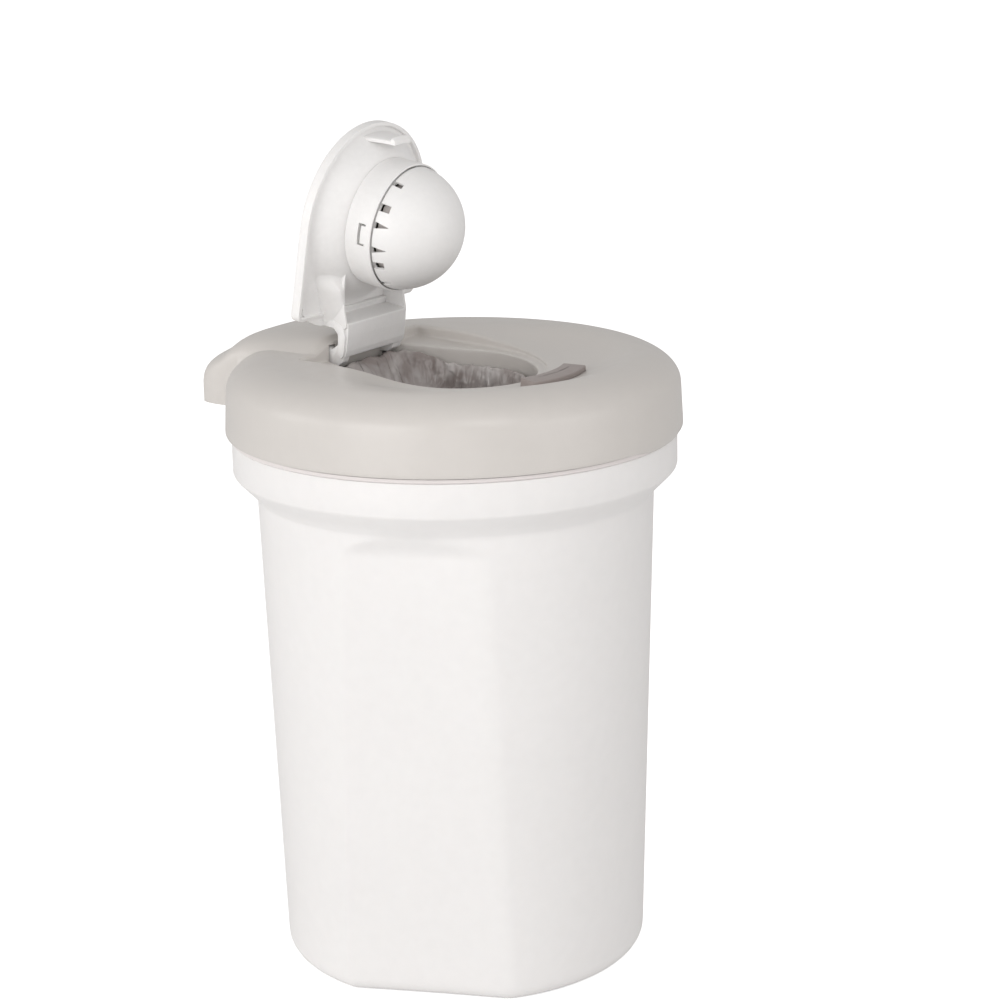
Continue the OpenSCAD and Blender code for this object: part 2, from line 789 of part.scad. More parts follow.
module gooseneck() {
    web = [[-21, 4], [-21.2, -15], [-20, -20.5], [-17, -24], [-12, -25.8], [-2.5, -26.2],
        [5.4, -24.4], [6.7, -23.6], [6, -21.4], [4.8, -21.9], [-3, -23.4], [-11.5, -22.6],
        [-15, -19.5], [-15.9, -14], [-15.8, 4]];
    arm_in = [[-15.8, 4], [-15.9, -13], [-12, -17.5], [-5, -18.5], [-0.6, -14], [-3.6, -1]];
    arm_rev = [for (i = [len(arm_in) - 1:-1:0]) arm_in[i]];
    translate([0, pin_fy, pin_fz])
    difference() {
        union() {
            side_solid(web, -neck_half, neck_half);
            for (s = [-1, 1])
                side_solid(concat(neck_outer(), [[3.6, -1]], arm_rev),
                    s > 0 ? neck_half - arm_w : -neck_half,
                    s > 0 ? neck_half : -neck_half + arm_w);
            for (s = [-1, 1])
                translate([s > 0 ? neck_half - arm_w : -neck_half, 0, 0])
                    rotate([0, 90, 0]) cylinder(r = boss_r, h = arm_w, $fn = 48);
            translate([neck_half - arm_w - 6.4, 4.1, -7.6])
                rotate([0, 90, 0]) cylinder(r = 1.2, h = 7, $fn = 24);
        }
        translate([-50, 0, 0]) rotate([0, 90, 0])
            cylinder(r = pin_d / 2 + pin_gap, h = 100, $fn = 48);
    }
}

function crown_profile(inset) = [
    [0, 3], [crown_r - inset, 3], [crown_r - inset, 0],
    [crown_r - 2 - inset, -3], [crown_r - 6 - inset, -6.5], [crown_r - 10 - inset, -9.2],
    [ring_r + 1.5 - inset, ring_top_z + 1 + inset], [ring_r - 1 - inset, ring_top_z + inset],
    [0, ring_top_z + inset]];

module flap_frame() {
    color(white)
    flap_place()
    difference() {
        union() {
            linear_extrude(height = flap_wall) difference() {
                flap_outline(-flap_wall - 0.1);
                translate([-neck_half, crown_r - 4]) square([2 * neck_half, 20]);
            }
            intersection() {
                rotate_extrude() polygon(crown_profile(0));
                translate([-100, -100, -60]) cube([200, 100 + crown_r - 2.5, 100]);
            }
            for (s = [-1, 1])
                side_solid([[cheek_y, 2], [cheek_y + 4, -9], [44, -10.8], [55, -13],
                    [flap_tail, -15.3], [flap_tail + 4, -15.8], [flap_tail + 6, -13.5],
                    [flap_tail + 6, 11.1], [48, 11.1], [47, 2]],
                    s > 0 ? neck_half : -neck_half - flap_wall,
                    s > 0 ? neck_half + flap_wall : -neck_half);
            translate([-neck_half - flap_wall, flap_tail + 1.2, -7])
                cube([2 * (neck_half + flap_wall), 5.6, 19.2]);
            gooseneck();
            side_solid([[-tongue_u, 1], [-tongue_u, barb_z + 0.2],
                [-tongue_u - 1.8, barb_z - 0.4], [-tongue_u - 1.8, barb_z - 1],
                [-tongue_u, barb_z - 3.4], [-tongue_u + tongue_t, barb_z - 3.4],
                [-tongue_u + tongue_t, 1]], -tongue_w / 2, tongue_w / 2);
        }
        difference() {
            rotate_extrude() polygon(concat([[0, 4]], [[crown_r - flap_wall, 4]],
                [for (i = [2:8]) crown_profile(flap_wall)[i]]));
            translate([-neck_half - 4, crown_r - 5, -60]) cube([2 * neck_half + 8, 20, 100]);
            translate([-tongue_w / 2, -60, -30]) cube([tongue_w, 7, 40]);
        }
        translate([0, 0, ring_top_z - 1]) cylinder(r = 20, h = 8);
        flap_screw_places() translate([0, 0, -20]) cylinder(r = 1.6, h = 20, $fn = 24);
    }
}

// Screws through the collar and the frame into the cover, hidden behind the dome
module flap_screw_places() {
    for (a = [45, 135, 225, 315])
        rotate([0, 0, a]) translate([0, 34, 0]) children();
}

module flap_screws() {
    color(steel)
    flap_place()
        flap_screw_places() translate([0, 0, ring_top_z - 4.3]) screw(3, 1.3, 13);
}

// Scent dome and the collar that it snaps into

module dome_collar() {
    color(white)
    flap_place()
    difference() {
        rotate_extrude() polygon([
            [ring_r - 1.2, ring_rim_z], [ring_r - 0.2, ring_rim_z + 0.8],
            [ring_r, ring_top_z - 0.05], [ring_r - 13, ring_top_z - 0.05],
            [ring_r - 13, ring_top_z - 2.5], [ring_r - 1.9, ring_top_z - 2.5],
            [ring_r - 1.9, ring_rim_z + 0.5]]);
        flap_screw_places() translate([0, 0, -20]) cylinder(r = 1.7, h = 20, $fn = 24);
        for (a = [90, 270])
            rotate([0, 0, a])
                for (s = [-1, 1])
                    translate([ring_r - 4, s * 5.5 - 0.8, ring_rim_z - 1])
                        cube([8, 1.6, 13]);
    }
}

module scent_dome() {
    skirt_r = ring_r - 2.3;
    lip_z = ring_rim_z - seat_gap;
    color(white)
    flap_place()
    difference() {
        union() {
            intersection() {
                translate([0, 0, dome_z]) sphere(r = dome_r, $fn = 128);
                translate([0, 0, lip_z - 60]) cylinder(r = 60, h = 60);
            }
            translate([0, 0, lip_z - 1])
                cylinder(r = skirt_r, h = ring_top_z - 2.8 - lip_z + 1);
        }
        intersection() {
            translate([0, 0, dome_z]) sphere(r = dome_r - dome_wall, $fn = 128);
            translate([0, 0, dome_z - 60]) cylinder(r = 60, h = 60);
        }
        translate([0, 0, lip_z - 1]) cylinder(r = skirt_r - dome_wall, h = 30);
        for (i = [0:vent_count - 1])
            rotate([0, 0, 360 * (i + 0.5) / vent_count])
                translate([0, 0, ring_rim_z - 6.5])
                    rotate([0, 90, 0]) linear_extrude(height = 60)
                        polygon([[-4.6, -1.3], [4.6, -2], [4.6, 2], [-4.6, 1.3]]);
    }
}

module scent_disc() {
    color([0.80, 0.86, 0.78])
    flap_place()
    translate([0, 0, ring_top_z - 5.2 - disc_t])
        cylinder(r = ring_r - 2.7 - dome_wall, h = disc_t);
}

pail_body();
liner_bag();
bag_ring();
lid_cover();
lid_base();
lid_seal();
lid_screws();
hinge_bracket();
bracket_screws();
hinge_pin();
pin_clip();
hinge_spring();
latch_guide();
guide_screws();
latch_spring();
latch_slider();
button();
button_springs();
flap_cover();
flap_frame();
flap_screws();
dome_collar();
scent_dome();
scent_disc();
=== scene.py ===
"""Nappy bin: a tapered white pail with a grey lid, an open flap and a slotted scent dome.

The file follows the bin from the pail upwards. Meshes are drawn in millimetres, the origin is on the
pail's axis at the floor, and the push button is on the -Y side.
"""

import math
import bpy
import bmesh
import numpy as np
from mathutils import Matrix, Vector


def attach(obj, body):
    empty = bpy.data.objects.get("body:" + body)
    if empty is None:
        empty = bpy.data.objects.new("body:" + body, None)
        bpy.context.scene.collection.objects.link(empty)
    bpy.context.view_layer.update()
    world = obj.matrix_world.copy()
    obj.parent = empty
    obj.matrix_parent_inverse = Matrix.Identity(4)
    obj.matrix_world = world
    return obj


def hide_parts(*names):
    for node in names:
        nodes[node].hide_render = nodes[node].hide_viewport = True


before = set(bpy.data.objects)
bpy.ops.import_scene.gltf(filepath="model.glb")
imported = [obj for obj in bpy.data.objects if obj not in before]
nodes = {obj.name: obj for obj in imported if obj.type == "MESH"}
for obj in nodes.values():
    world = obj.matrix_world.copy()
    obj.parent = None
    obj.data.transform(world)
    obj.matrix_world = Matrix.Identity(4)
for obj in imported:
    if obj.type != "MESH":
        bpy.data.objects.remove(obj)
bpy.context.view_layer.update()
scene = bpy.context.scene
scene.view_settings.view_transform = "Standard"

# Camera: it stands in front and to the left, 14.65 degrees above the level, and is rolled by 1.1 degrees.
LENS = 100.9
CAMERA_AT = (-1.4698, -1.0262, 0.7759)
turn, pitch, roll = math.radians(56.0), math.radians(14.6515), math.radians(1.1366)
right = np.array([math.cos(turn), -math.sin(turn), 0.0])
level = np.array([math.sin(turn), math.cos(turn), 0.0])
ahead = level * math.cos(pitch) - np.array([0, 0, math.sin(pitch)])
down = np.cross(ahead, right)
cam_x = math.cos(roll) * right + math.sin(roll) * down
cam_down = math.cos(roll) * down - math.sin(roll) * right
camera = bpy.data.objects.new("camera", bpy.data.cameras.new("camera"))
scene.collection.objects.link(camera)
camera.data.lens = LENS
camera.data.sensor_width = 36.0
camera.data.clip_start, camera.data.clip_end = 0.05, 60.0
camera.matrix_world = Matrix([[cam_x[i], -cam_down[i], -ahead[i], p]
                              for i, p in enumerate(CAMERA_AT)] + [[0, 0, 0, 1]])
scene.camera = camera


# Stage: a pale floor under the bin and a white room. The floor adds a little white of its own to what the
# camera sees, so it runs out to white and keeps the bin's shadow.
def shader_nodes(material):
    """Node tree of a material or world, emptied, with a function that adds a node to it."""
    material.use_nodes = True
    tree = material.node_tree
    tree.nodes.clear()

    def add(kind, inputs=(), **settings):
        node = tree.nodes.new(kind)
        for key, value in settings.items():
            setattr(node, key, value)
        for key, value in dict(inputs).items():
            if isinstance(value, bpy.types.NodeSocket):
                tree.links.new(value, node.inputs[key])
            else:
                node.inputs[key].default_value = value
        return node
    return add


floor_mesh = bpy.data.meshes.new("floor")
floor_mesh.from_pydata([(-30, -30, 0), (30, -30, 0), (30, 30, 0), (-30, 30, 0)], [], [(0, 1, 2, 3)])
floor = bpy.data.objects.new("floor", floor_mesh)
scene.collection.objects.link(floor)
floor_paint = bpy.data.materials.new("floor_paint")
add = shader_nodes(floor_paint)
camera_ray = add("ShaderNodeLightPath").outputs["Is Camera Ray"]
matt = add("ShaderNodeBsdfDiffuse", {"Color": (0.90, 0.90, 0.90, 1)})
glow = add("ShaderNodeEmission", {"Color": (1, 1, 1, 1), "Strength": 0.66})
both = add("ShaderNodeAddShader", {0: matt.outputs[0], 1: glow.outputs[0]})
seen = add("ShaderNodeMixShader", {0: camera_ray, 1: matt.outputs[0], 2: both.outputs[0]})
add("ShaderNodeOutputMaterial", {"Surface": seen.outputs[0]})
floor_mesh.materials.append(floor_paint)

room = bpy.data.worlds.new("room")
scene.world = room
add = shader_nodes(room)
camera_ray = add("ShaderNodeLightPath").outputs["Is Camera Ray"]
soft = add("ShaderNodeBackground", {"Color": (1.0, 0.985, 0.975, 1), "Strength": 0.56})
white = add("ShaderNodeBackground", {"Color": (1, 1, 1, 1), "Strength": 1.0})
mixed = add("ShaderNodeMixShader", {0: camera_ray, 1: soft.outputs[0], 2: white.outputs[0]})
add("ShaderNodeOutputWorld", {"Surface": mixed.outputs[0]})


KEY_WHITE, FILL_WHITE = (1.0, 0.99, 0.985), (1.0, 0.98, 0.975)


def lamp(name, place, aim, size, watts, colour):
    """Square area lamp of that size in metres at a place, turned to face a point."""
    light = bpy.data.lights.new(name, "AREA")
    light.shape, light.size, light.energy, light.color = "SQUARE", size, watts, colour
    ob = bpy.data.objects.new(name, light)
    scene.collection.objects.link(ob)
    back = Vector(place) - Vector(aim)
    ob.matrix_world = Matrix.Translation(place) @ back.to_track_quat("Z", "Y").to_matrix().to_4x4()


lamp("key", (-2.7, 0.1, 0.85), (0, 0, 0.3), 1.9, 26, KEY_WHITE)
lamp("rear_left", (-1.8, 2.0, 0.9), (0, 0, 0.35), 1.4, 9, KEY_WHITE)
lamp("front_fill", (0.1, -2.8, 0.75), (0, 0, 0.28), 1.9, 12.5, FILL_WHITE)
lamp("low_fill", (-1.5, -1.1, 0.1), (0, 0, 0.5), 0.8, 1.7, FILL_WHITE)
lamp("flap_fill", (-0.42, -0.50, 0.84), (-0.02, 0.06, 0.46), 0.3, 0.6, FILL_WHITE)


# Pail: one injection-moulded white tub. Its wall tapers, two flat panels are cut into the sides, and a
# cone under the collar widens it to the rim. Soft edges, 2.4 mm wall.
def arc(cx, cz, radius, start, end, steps):
    """Points (x, z) of an arc round (cx, cz) between two angles in degrees."""
    t = np.radians(np.linspace(start, end, steps + 1))
    return np.stack([cx + radius * np.cos(t), cz + radius * np.sin(t)], -1)


def step(x, start, end):
    """0 before start, 1 after end, and a smooth cubic between them."""
    t = np.clip((x - start) / (end - start), 0, 1)
    return t * t * (3 - 2 * t)


def soft_min(a, b, width):
    """The lesser of a and b, rounded off where they differ by less than width."""
    h = np.clip(0.5 + 0.5 * (b - a) / width, 0, 1)
    return b + (a - b) * h - width * h * (1 - h)


def soft_max(a, b, width):
    """The greater of a and b, rounded off where they differ by less than width."""
    return -soft_min(-a, -b, width)


def grid_shell(rows, loop=True, start_cap=False, end_cap=False):
    """Points and faces of a grid, rows[i, j]: each point joins its neighbours in its row and the next one.
    loop joins the ends of each row, and a cap fills the first or last row with a fan to its middle."""
    rows = np.asarray(rows, float)
    m, n = rows.shape[:2]
    index = np.arange(m * n).reshape(m, n)
    wide = np.concatenate([index, index[:, :1]], 1) if loop else index
    quads = np.stack([wide[:-1, :-1], wide[:-1, 1:], wide[1:, 1:], wide[1:, :-1]], -1)
    faces = quads.reshape(-1, 4).tolist()
    points = [rows.reshape(-1, 3)]
    count = m * n
    for wanted, line, flip in ((start_cap, wide[0], True), (end_cap, wide[-1], False)):
        if wanted:
            points.append(rows.reshape(-1, 3)[line[:n]].mean(0)[None])
            a, b = (line[1:], line[:-1]) if flip else (line[:-1], line[1:])
            faces += np.stack([a, b, np.full(len(a), count)], -1).tolist()
            count += 1
    return np.concatenate(points), faces


def capped(rows):
    """Points and faces of a grid of rings with a fan over both ends."""
    return grid_shell(rows, start_cap=True, end_cap=True)


def revolve(profile, columns):
    """Rows of a surface of revolution: each (radius, z) of the profile is carried round the Z axis."""
    t = np.linspace(0, 2 * np.pi, columns, endpoint=False)
    p = np.asarray(profile, float)
    return np.stack([p[:, :1] * np.sin(t), -p[:, :1] * np.cos(t), np.repeat(p[:, 1:], columns, 1)], -1)


def add_piece(name, shells, body=None, stands_for=(), sharp=38.0, place=None):
    """One piece made of closed shells, (points, faces) in millimetres: doubles are merged, faces turned
    outwards, edges over the sharp angle kept crisp, and the mesh placed by a matrix in metres. A cutter or
    a piece still to be cut has no body."""
    bm = bmesh.new()
    for points, faces in shells:
        part = bpy.data.meshes.new("part")
        part.from_pydata((np.asarray(points) * 0.001).tolist(), [], faces)
        one = bmesh.new()
        one.from_mesh(part)
        bmesh.ops.remove_doubles(one, verts=one.verts, dist=2e-6)
        bmesh.ops.dissolve_degenerate(one, edges=one.edges, dist=1e-6)
        bmesh.ops.recalc_face_normals(one, faces=one.faces)
        if one.calc_volume(signed=True) < 0:
            bmesh.ops.reverse_faces(one, faces=one.faces)
        one.to_mesh(part)
        one.free()
        bm.from_mesh(part)
        bpy.data.meshes.remove(part)
    mesh = bpy.data.meshes.new(name)
    bm.to_mesh(mesh)
    bm.free()
    if place is not None:
        mesh.transform(place)
    ob = bpy.data.objects.new(name, mesh)
    scene.collection.objects.link(ob)
    smooth(ob, sharp)
    if body:
        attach(ob, body)
        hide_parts(*stands_for)
    return ob


def smooth(ob, sharp):
    """Smooth shading with edges over the sharp angle, in degrees, kept crisp."""
    ob.data.shade_smooth()
    ob.data.set_sharp_from_angle(angle=math.radians(sharp))


def paint(mesh, material):
    """Gives a mesh one material in place of any that it has."""
    mesh.materials.clear()
    mesh.materials.append(material)


def plastic(name, colour, rough=0.42, grain=1500.0, bump=0.04, mottle=0.02, cloud=9.0, coat=0.0,
            sss=0.0):
    """Satin moulded plastic on Object coordinates: a fine spark grain in the bump, slow and middling
    clouds in the colour, and the middling ones in the gloss too."""
    material = bpy.data.materials.new(name)
    add = shader_nodes(material)
    where = add("ShaderNodeTexCoord").outputs["Object"]
    fine = add("ShaderNodeTexNoise", {"Vector": where, "Scale": grain, "Detail": 2.0, "Roughness": 0.6})
    slow = add("ShaderNodeTexNoise", {"Vector": where, "Scale": cloud, "Detail": 3.0, "Roughness": 0.55})
    mid = add("ShaderNodeTexNoise", {"Vector": where, "Scale": cloud * 14, "Detail": 2.0})
    both = add("ShaderNodeMath", {0: slow.outputs["Fac"], 1: mid.outputs["Fac"]}, operation="ADD")
    shade = add("ShaderNodeMapRange", {"Value": both.outputs[0], "From Min": 0.7, "From Max": 1.3})
    low = tuple(c * (1 - mottle) for c in colour) + (1,)
    high = tuple(min(1.0, c * (1 + mottle)) for c in colour) + (1,)
    tone = add("ShaderNodeMix", {0: shade.outputs[0], 6: low, 7: high}, data_type="RGBA")
    gloss = add("ShaderNodeMapRange", {"Value": mid.outputs["Fac"], "From Min": 0.3, "From Max": 0.7,
                                       "To Min": rough - 0.05, "To Max": rough + 0.05})
    dent = add("ShaderNodeBump", {"Strength": bump * 10, "Distance": 0.00006, "Height": fine.outputs["Fac"]})
    skin = add("ShaderNodeBsdfPrincipled", {
        "Base Color": tone.outputs[2], "Roughness": gloss.outputs[0], "Normal": dent.outputs[0],
        "IOR": 1.47, "Coat Weight": coat, "Coat Roughness": 0.25, "Subsurface Weight": sss,
        "Subsurface Radius": (0.004, 0.0035, 0.003), "Subsurface Scale": 1.0})
    add("ShaderNodeOutputMaterial", {"Surface": skin.outputs[0]})
    return material


RIM_Z, NECK_Z, COLLAR_Z = 356.0, 318.0, 333.3
FOOT_R, FOOT_ROUND, WIDENING = 121.0, 12.0, 9.7
WALL, FLOOR_TOP = 2.4, 5.4
PANEL_AT = math.radians(68.4)
PANEL_LOW, PANEL_LEAN, PANEL_FADE = 107.7, 0.0476, 8.2
pail_white = plastic("pail_white", (0.862, 0.850, 0.842), rough=0.46, grain=1300, bump=0.035,
                     mottle=0.012, sss=0.04)


def pail_radius(a, z):
    """Outer radius of the pail wall at angle a from the front and height z: a straight taper, cut by a
    flat panel at either side, with a soft front edge and a crisp rear edge. The panels fade out on top."""
    round_wall = FOOT_R + WIDENING * z / 320.0
    off = np.abs(np.angle(np.exp(1j * (np.abs(a) - PANEL_AT))))
    flat = (PANEL_LOW + PANEL_LEAN * z) / np.maximum(np.cos(off), 0.3) + PANEL_FADE * step(z, 302.0, 322.0)
    behind = np.abs(np.angle(np.exp(1j * a))) > PANEL_AT
    return soft_min(round_wall, flat, np.where(behind, 0.8, 2.6))


def ring_row(r, z):
    """Ring round the pail's axis at a height. The radius is one number or one for each angle."""
    return np.stack([r * np.sin(angles), -r * np.cos(angles), np.full_like(angles, z)], -1)


angles = np.linspace(-np.pi, np.pi, 600, endpoint=False)
outer_z = np.concatenate([np.linspace(FOOT_ROUND, 290, 26), np.linspace(296, NECK_Z - 1.5, 12)])
under = [(60.0, 0.0), (71.4, 0.0), (72.0, 0.5), (72.3, 3.0), (91.7, 3.0), (92.0, 0.5), (92.6, 0.0)]
foot = arc(-FOOT_ROUND, FOOT_ROUND, FOOT_ROUND, -90, 0, 7)[:-1]
lip = np.concatenate([
    [(131.4, NECK_Z + 0.6), (138.6, NECK_Z + 8), (144.6, COLLAR_Z - 1.2), (145.6, COLLAR_Z + 0.1)],
    [(146.0, COLLAR_Z + 1.4), (146.0, 345), (146.0, RIM_Z - 1.0)], arc(145.0, RIM_Z - 1.0, 1.0, 15, 90, 5),
    arc(144.6, RIM_Z - 1.0, 1.0, 90, 180, 5), [(143.6, COLLAR_Z + 1.2), (128.6, NECK_Z + 1.0)]])
rows = [ring_row(r, z) for r, z in under]
rows += [ring_row(pail_radius(angles, FOOT_ROUND) + x, z) for x, z in foot]
rows += [ring_row(pail_radius(angles, z), z) for z in outer_z]
rows += [ring_row(r, z) for r, z in lip]
rows += [ring_row(pail_radius(angles, z) - WALL, z) for z in outer_z[::-1]]
rows += [ring_row(r, FLOOR_TOP) for r in (100.0, 60.0)]
pail = add_piece("pail_body", [capped(rows)], "pail", ["pail_body"], sharp=32)
paint(pail.data, pail_white)


# Bag: a liner of thin frosted film. Its cuff lies in the collar under the bag ring, it is drawn up through
# the throat as a crumpled neck and turned down inside it, and its body hangs to the pail's floor.
# BAG_PATH follows it in (radius, height).
BAG_PATH = [(141.8, 340), (135, 334), (120, 341), (90, 349), (72, 351), (64, 356), (60.5, 364),
            (58.6, 373), (57.0, 382), (55.6, 388), (53.6, 389.6), (51.6, 387), (50, 380), (49.6, 369),
            (51, 356), (57, 344), (68, 332), (84, 318), (98, 302), (103, 282), (103, 240), (101, 150),
            (99, 40), (90, 13), (60, 6.6), (8, 6.2)]
NECK_TOP, NECK_START, NECK_END = 9, (70, 104), (200, 300)
THROAT_Y = 3.3
path = np.array(BAG_PATH, float)
along = np.concatenate([[0], np.cumsum(np.hypot(*np.diff(path, axis=0).T))])
fine = np.concatenate([np.linspace(0, 80, 30), np.linspace(81, 190, 110), np.linspace(192, along[-1], 80)])
profile = np.stack([np.interp(fine, along, path[:, 0]), np.interp(fine, along, path[:, 1])], -1)
kernel = np.exp(-0.5 * (np.arange(-3, 4) / 1.2) ** 2)
kernel /= kernel.sum()
padded = np.pad(profile, ((3, 3), (0, 0)), mode="edge")
profile = np.stack([np.convolve(padded[:, i], kernel, mode="valid") for i in (0, 1)], -1)


def crumple(angle, dist, seed, waves=26, low=3, high=24):
    """Folds at an angle round the film and a distance along it: ridged waves, some of them slanting."""
    rng = np.random.default_rng(seed)
    total = np.zeros(np.broadcast(angle, dist).shape)
    for _ in range(waves):
        k = rng.integers(low, high)
        lean = rng.normal(0, 0.05)
        phase = rng.uniform(0, 2 * np.pi)
        size = rng.uniform(0.4, 1.0) * (6.0 / k) ** 0.5
        sway = 0.8 * np.sin(2 * angle + 0.03 * dist + phase)
        wave = np.sin(k * angle + lean * dist + phase + sway)
        total += size * (1 - 2 * np.abs(wave))
    return total / math.sqrt(waves)


angle = np.linspace(-np.pi, np.pi, 420, endpoint=False)[None]
dist = fine[:, None]
neck_zone = step(dist, *NECK_START) * (1 - step(dist, *NECK_END))
depth = 0.5 + 2.0 * neck_zone + 1.6 * step(dist, 200, 320)
depth = depth * step(dist, 0, 14) * (1 - 0.9 * step(dist, along[-1] - 90, along[-1] - 20))
fold = crumple(angle, dist, 4) * depth
low_fold = 0.5 * crumple(angle, dist, 9, waves=14) * depth * (dist < along[-1] - 120)

# The neck's top dips at the front. At the back it stands higher and reaches into the notch's corners.
ridge = np.exp(-((dist - along[NECK_TOP]) / 24.0) ** 2)
front_dip = np.exp(-(angle / 0.42) ** 2) * ridge
to_back = math.pi - np.abs(angle)
behind = (1 - step(to_back, 0.45, 1.1)) * ridge
corner_reach = np.interp(to_back, [0, 0.2, 0.4, 0.5, 0.6, 0.8, 1.0, 1.15],
                         [14.5, 15.9, 20.6, 18.0, 12.5, 5.5, 1.6, 0])
r = profile[:, :1] + fold - 1.2 * depth + 2.0 * front_dip + corner_reach * ridge
z = profile[:, 1:] + low_fold - 14.0 * front_dip + 9.0 * behind
z = np.maximum(z, 6.0 + 0.3 * np.sin(3 * angle))
centre_y = THROAT_Y * step(dist, 40, 90) * (1 - step(dist, *NECK_END))
rows = np.stack([r * np.sin(angle), centre_y - r * np.cos(angle), z], -1)
points, faces = grid_shell(rows, end_cap=True)
bag_mesh = bpy.data.meshes.new("liner_bag")
bag_mesh.from_pydata((points * 0.001).tolist(), [], faces)
bag = bpy.data.objects.new("liner_bag", bag_mesh)
scene.collection.objects.link(bag)
smooth(bag, 60)
film_wall = bag.modifiers.new("film_wall", "SOLIDIFY")
film_wall.thickness, film_wall.offset = 0.0003, 0.0
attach(bag, "pail")
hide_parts("liner_bag")

# Film: creases in the bump. The colour runs from a dark tone, which is painted shade of the pail's dark
# inside seen through the film, to the film's own light frosted tone. The crease edges get a painted
# highlight, and broad patches add painted light and shade.
FILM_SHADE_TONE, FILM_LIGHT = (0.36, 0.315, 0.30, 1), (0.86, 0.835, 0.82, 1)
film = bpy.data.materials.new("bag_film")
add = shader_nodes(film)
where = add("ShaderNodeTexCoord").outputs["Object"]
hung = add("ShaderNodeMapping", {"Vector": where, "Scale": (1.0, 1.0, 0.75)})
crease = add("ShaderNodeTexNoise", {"Vector": hung.outputs[0], "Scale": 40.0, "Detail": 6.0,
                                    "Roughness": 0.6, "Distortion": 2.8}, noise_type="RIDGED_MULTIFRACTAL")
broad = add("ShaderNodeTexNoise", {"Vector": where, "Scale": 26.0, "Detail": 3.0, "Distortion": 1.2})
height = add("ShaderNodeMath", {0: crease.outputs["Fac"], 1: broad.outputs["Fac"]}, operation="ADD")
dent = add("ShaderNodeBump", {"Strength": 1.0, "Distance": 0.0022, "Height": height.outputs[0]})
# Painted highlight: the crease edges are given the light tone.
painted_crease_highlight = add("ShaderNodeMapRange", {"Value": crease.outputs["Fac"], "From Min": 0.55, "From Max": 1.3,
                                      "To Max": 0.55})
# Painted light and shade: broad patches move the tone up and down.
shade = add("ShaderNodeMapRange", {"Value": broad.outputs["Fac"], "From Min": 0.4, "From Max": 0.66,
                                   "To Max": 0.6})
mixed_tone = add("ShaderNodeMath", {0: painted_crease_highlight.outputs[0], 1: shade.outputs[0]}, operation="ADD")
tone = add("ShaderNodeMix", {0: mixed_tone.outputs[0], 6: FILM_SHADE_TONE, 7: FILM_LIGHT}, data_type="RGBA")
skin = add("ShaderNodeBsdfPrincipled", {"Base Color": tone.outputs[2], "Roughness": 0.16, "IOR": 1.5,
                                        "Alpha": 0.86, "Normal": dent.outputs[0]})
add("ShaderNodeOutputMaterial", {"Surface": skin.outputs[0]})
paint(bag_mesh, film)


# Bag ring: a thin white ring that lies on the rim and holds the bag's cuff in the collar.
# Lid base: the white plate under the grey cover, with the funnel, the hinge well and the rubber seal.
def finish_node(name, material):
    """Gives a CAD node that stays in the scene its own material."""
    paint(nodes[name].data, material)


finish_node("bag_ring", plastic("ring_white", (0.80, 0.755, 0.745), rough=0.42, grain=1300, mottle=0.012))
finish_node("lid_base", plastic("base_white", (0.80, 0.79, 0.78), rough=0.5, grain=1300, mottle=0.015))
finish_node("lid_seal", plastic("seal_rubber", (0.10, 0.10, 0.10), rough=0.75, grain=2200, bump=0.08,
                                mottle=0.06, cloud=30))


# Steel and inner parts: screws, springs, pin and clip are bright zinc-plated steel with a turned grain,
# the hinge bracket and latch guide are dark grey mouldings, and the latch slider is a white one.
def metal(name, colour, rough):
    """Plated steel: a fine stretched grain in the gloss and the bump, and a slight cloud in the colour."""
    material = bpy.data.materials.new(name)
    add = shader_nodes(material)
    where = add("ShaderNodeTexCoord").outputs["Object"]
    stretched = add("ShaderNodeMapping", {"Vector": where, "Scale": (300.0, 4000.0, 4000.0)})
    grain = add("ShaderNodeTexNoise", {"Vector": stretched.outputs[0], "Scale": 1.0, "Detail": 3.0})
    cloud = add("ShaderNodeTexNoise", {"Vector": where, "Scale": 220.0, "Detail": 3.0})
    gloss = add("ShaderNodeMapRange", {"Value": grain.outputs["Fac"], "To Min": rough - 0.08,
                                       "To Max": rough + 0.1})
    tone = add("ShaderNodeMix", {0: cloud.outputs["Fac"], 6: tuple(0.9 * c for c in colour) + (1,),
                                 7: tuple(colour) + (1,)}, data_type="RGBA")
    dent = add("ShaderNodeBump", {"Strength": 0.25, "Distance": 0.00004, "Height": grain.outputs["Fac"]})
    skin = add("ShaderNodeBsdfPrincipled", {"Base Color": tone.outputs[2], "Metallic": 1.0,
                                            "Roughness": gloss.outputs[0], "Normal": dent.outputs[0]})
    add("ShaderNodeOutputMaterial", {"Surface": skin.outputs[0]})
    return material


steel = metal("steel", (0.62, 0.62, 0.63), 0.3)
inner_grey = plastic("inner_grey", (0.33, 0.31, 0.30), rough=0.5, grain=1400, mottle=0.04)
for name in ("lid_screws", "bracket_screws", "guide_screws", "flap_screws", "hinge_pin", "pin_clip",
             "hinge_spring", "latch_spring", "button_springs"):
    finish_node(name, steel)
for name in ("hinge_bracket", "latch_guide"):
    finish_node(name, inner_grey)
finish_node("latch_slider", plastic("slider_white", (0.80, 0.79, 0.78), rough=0.38, grain=1400))


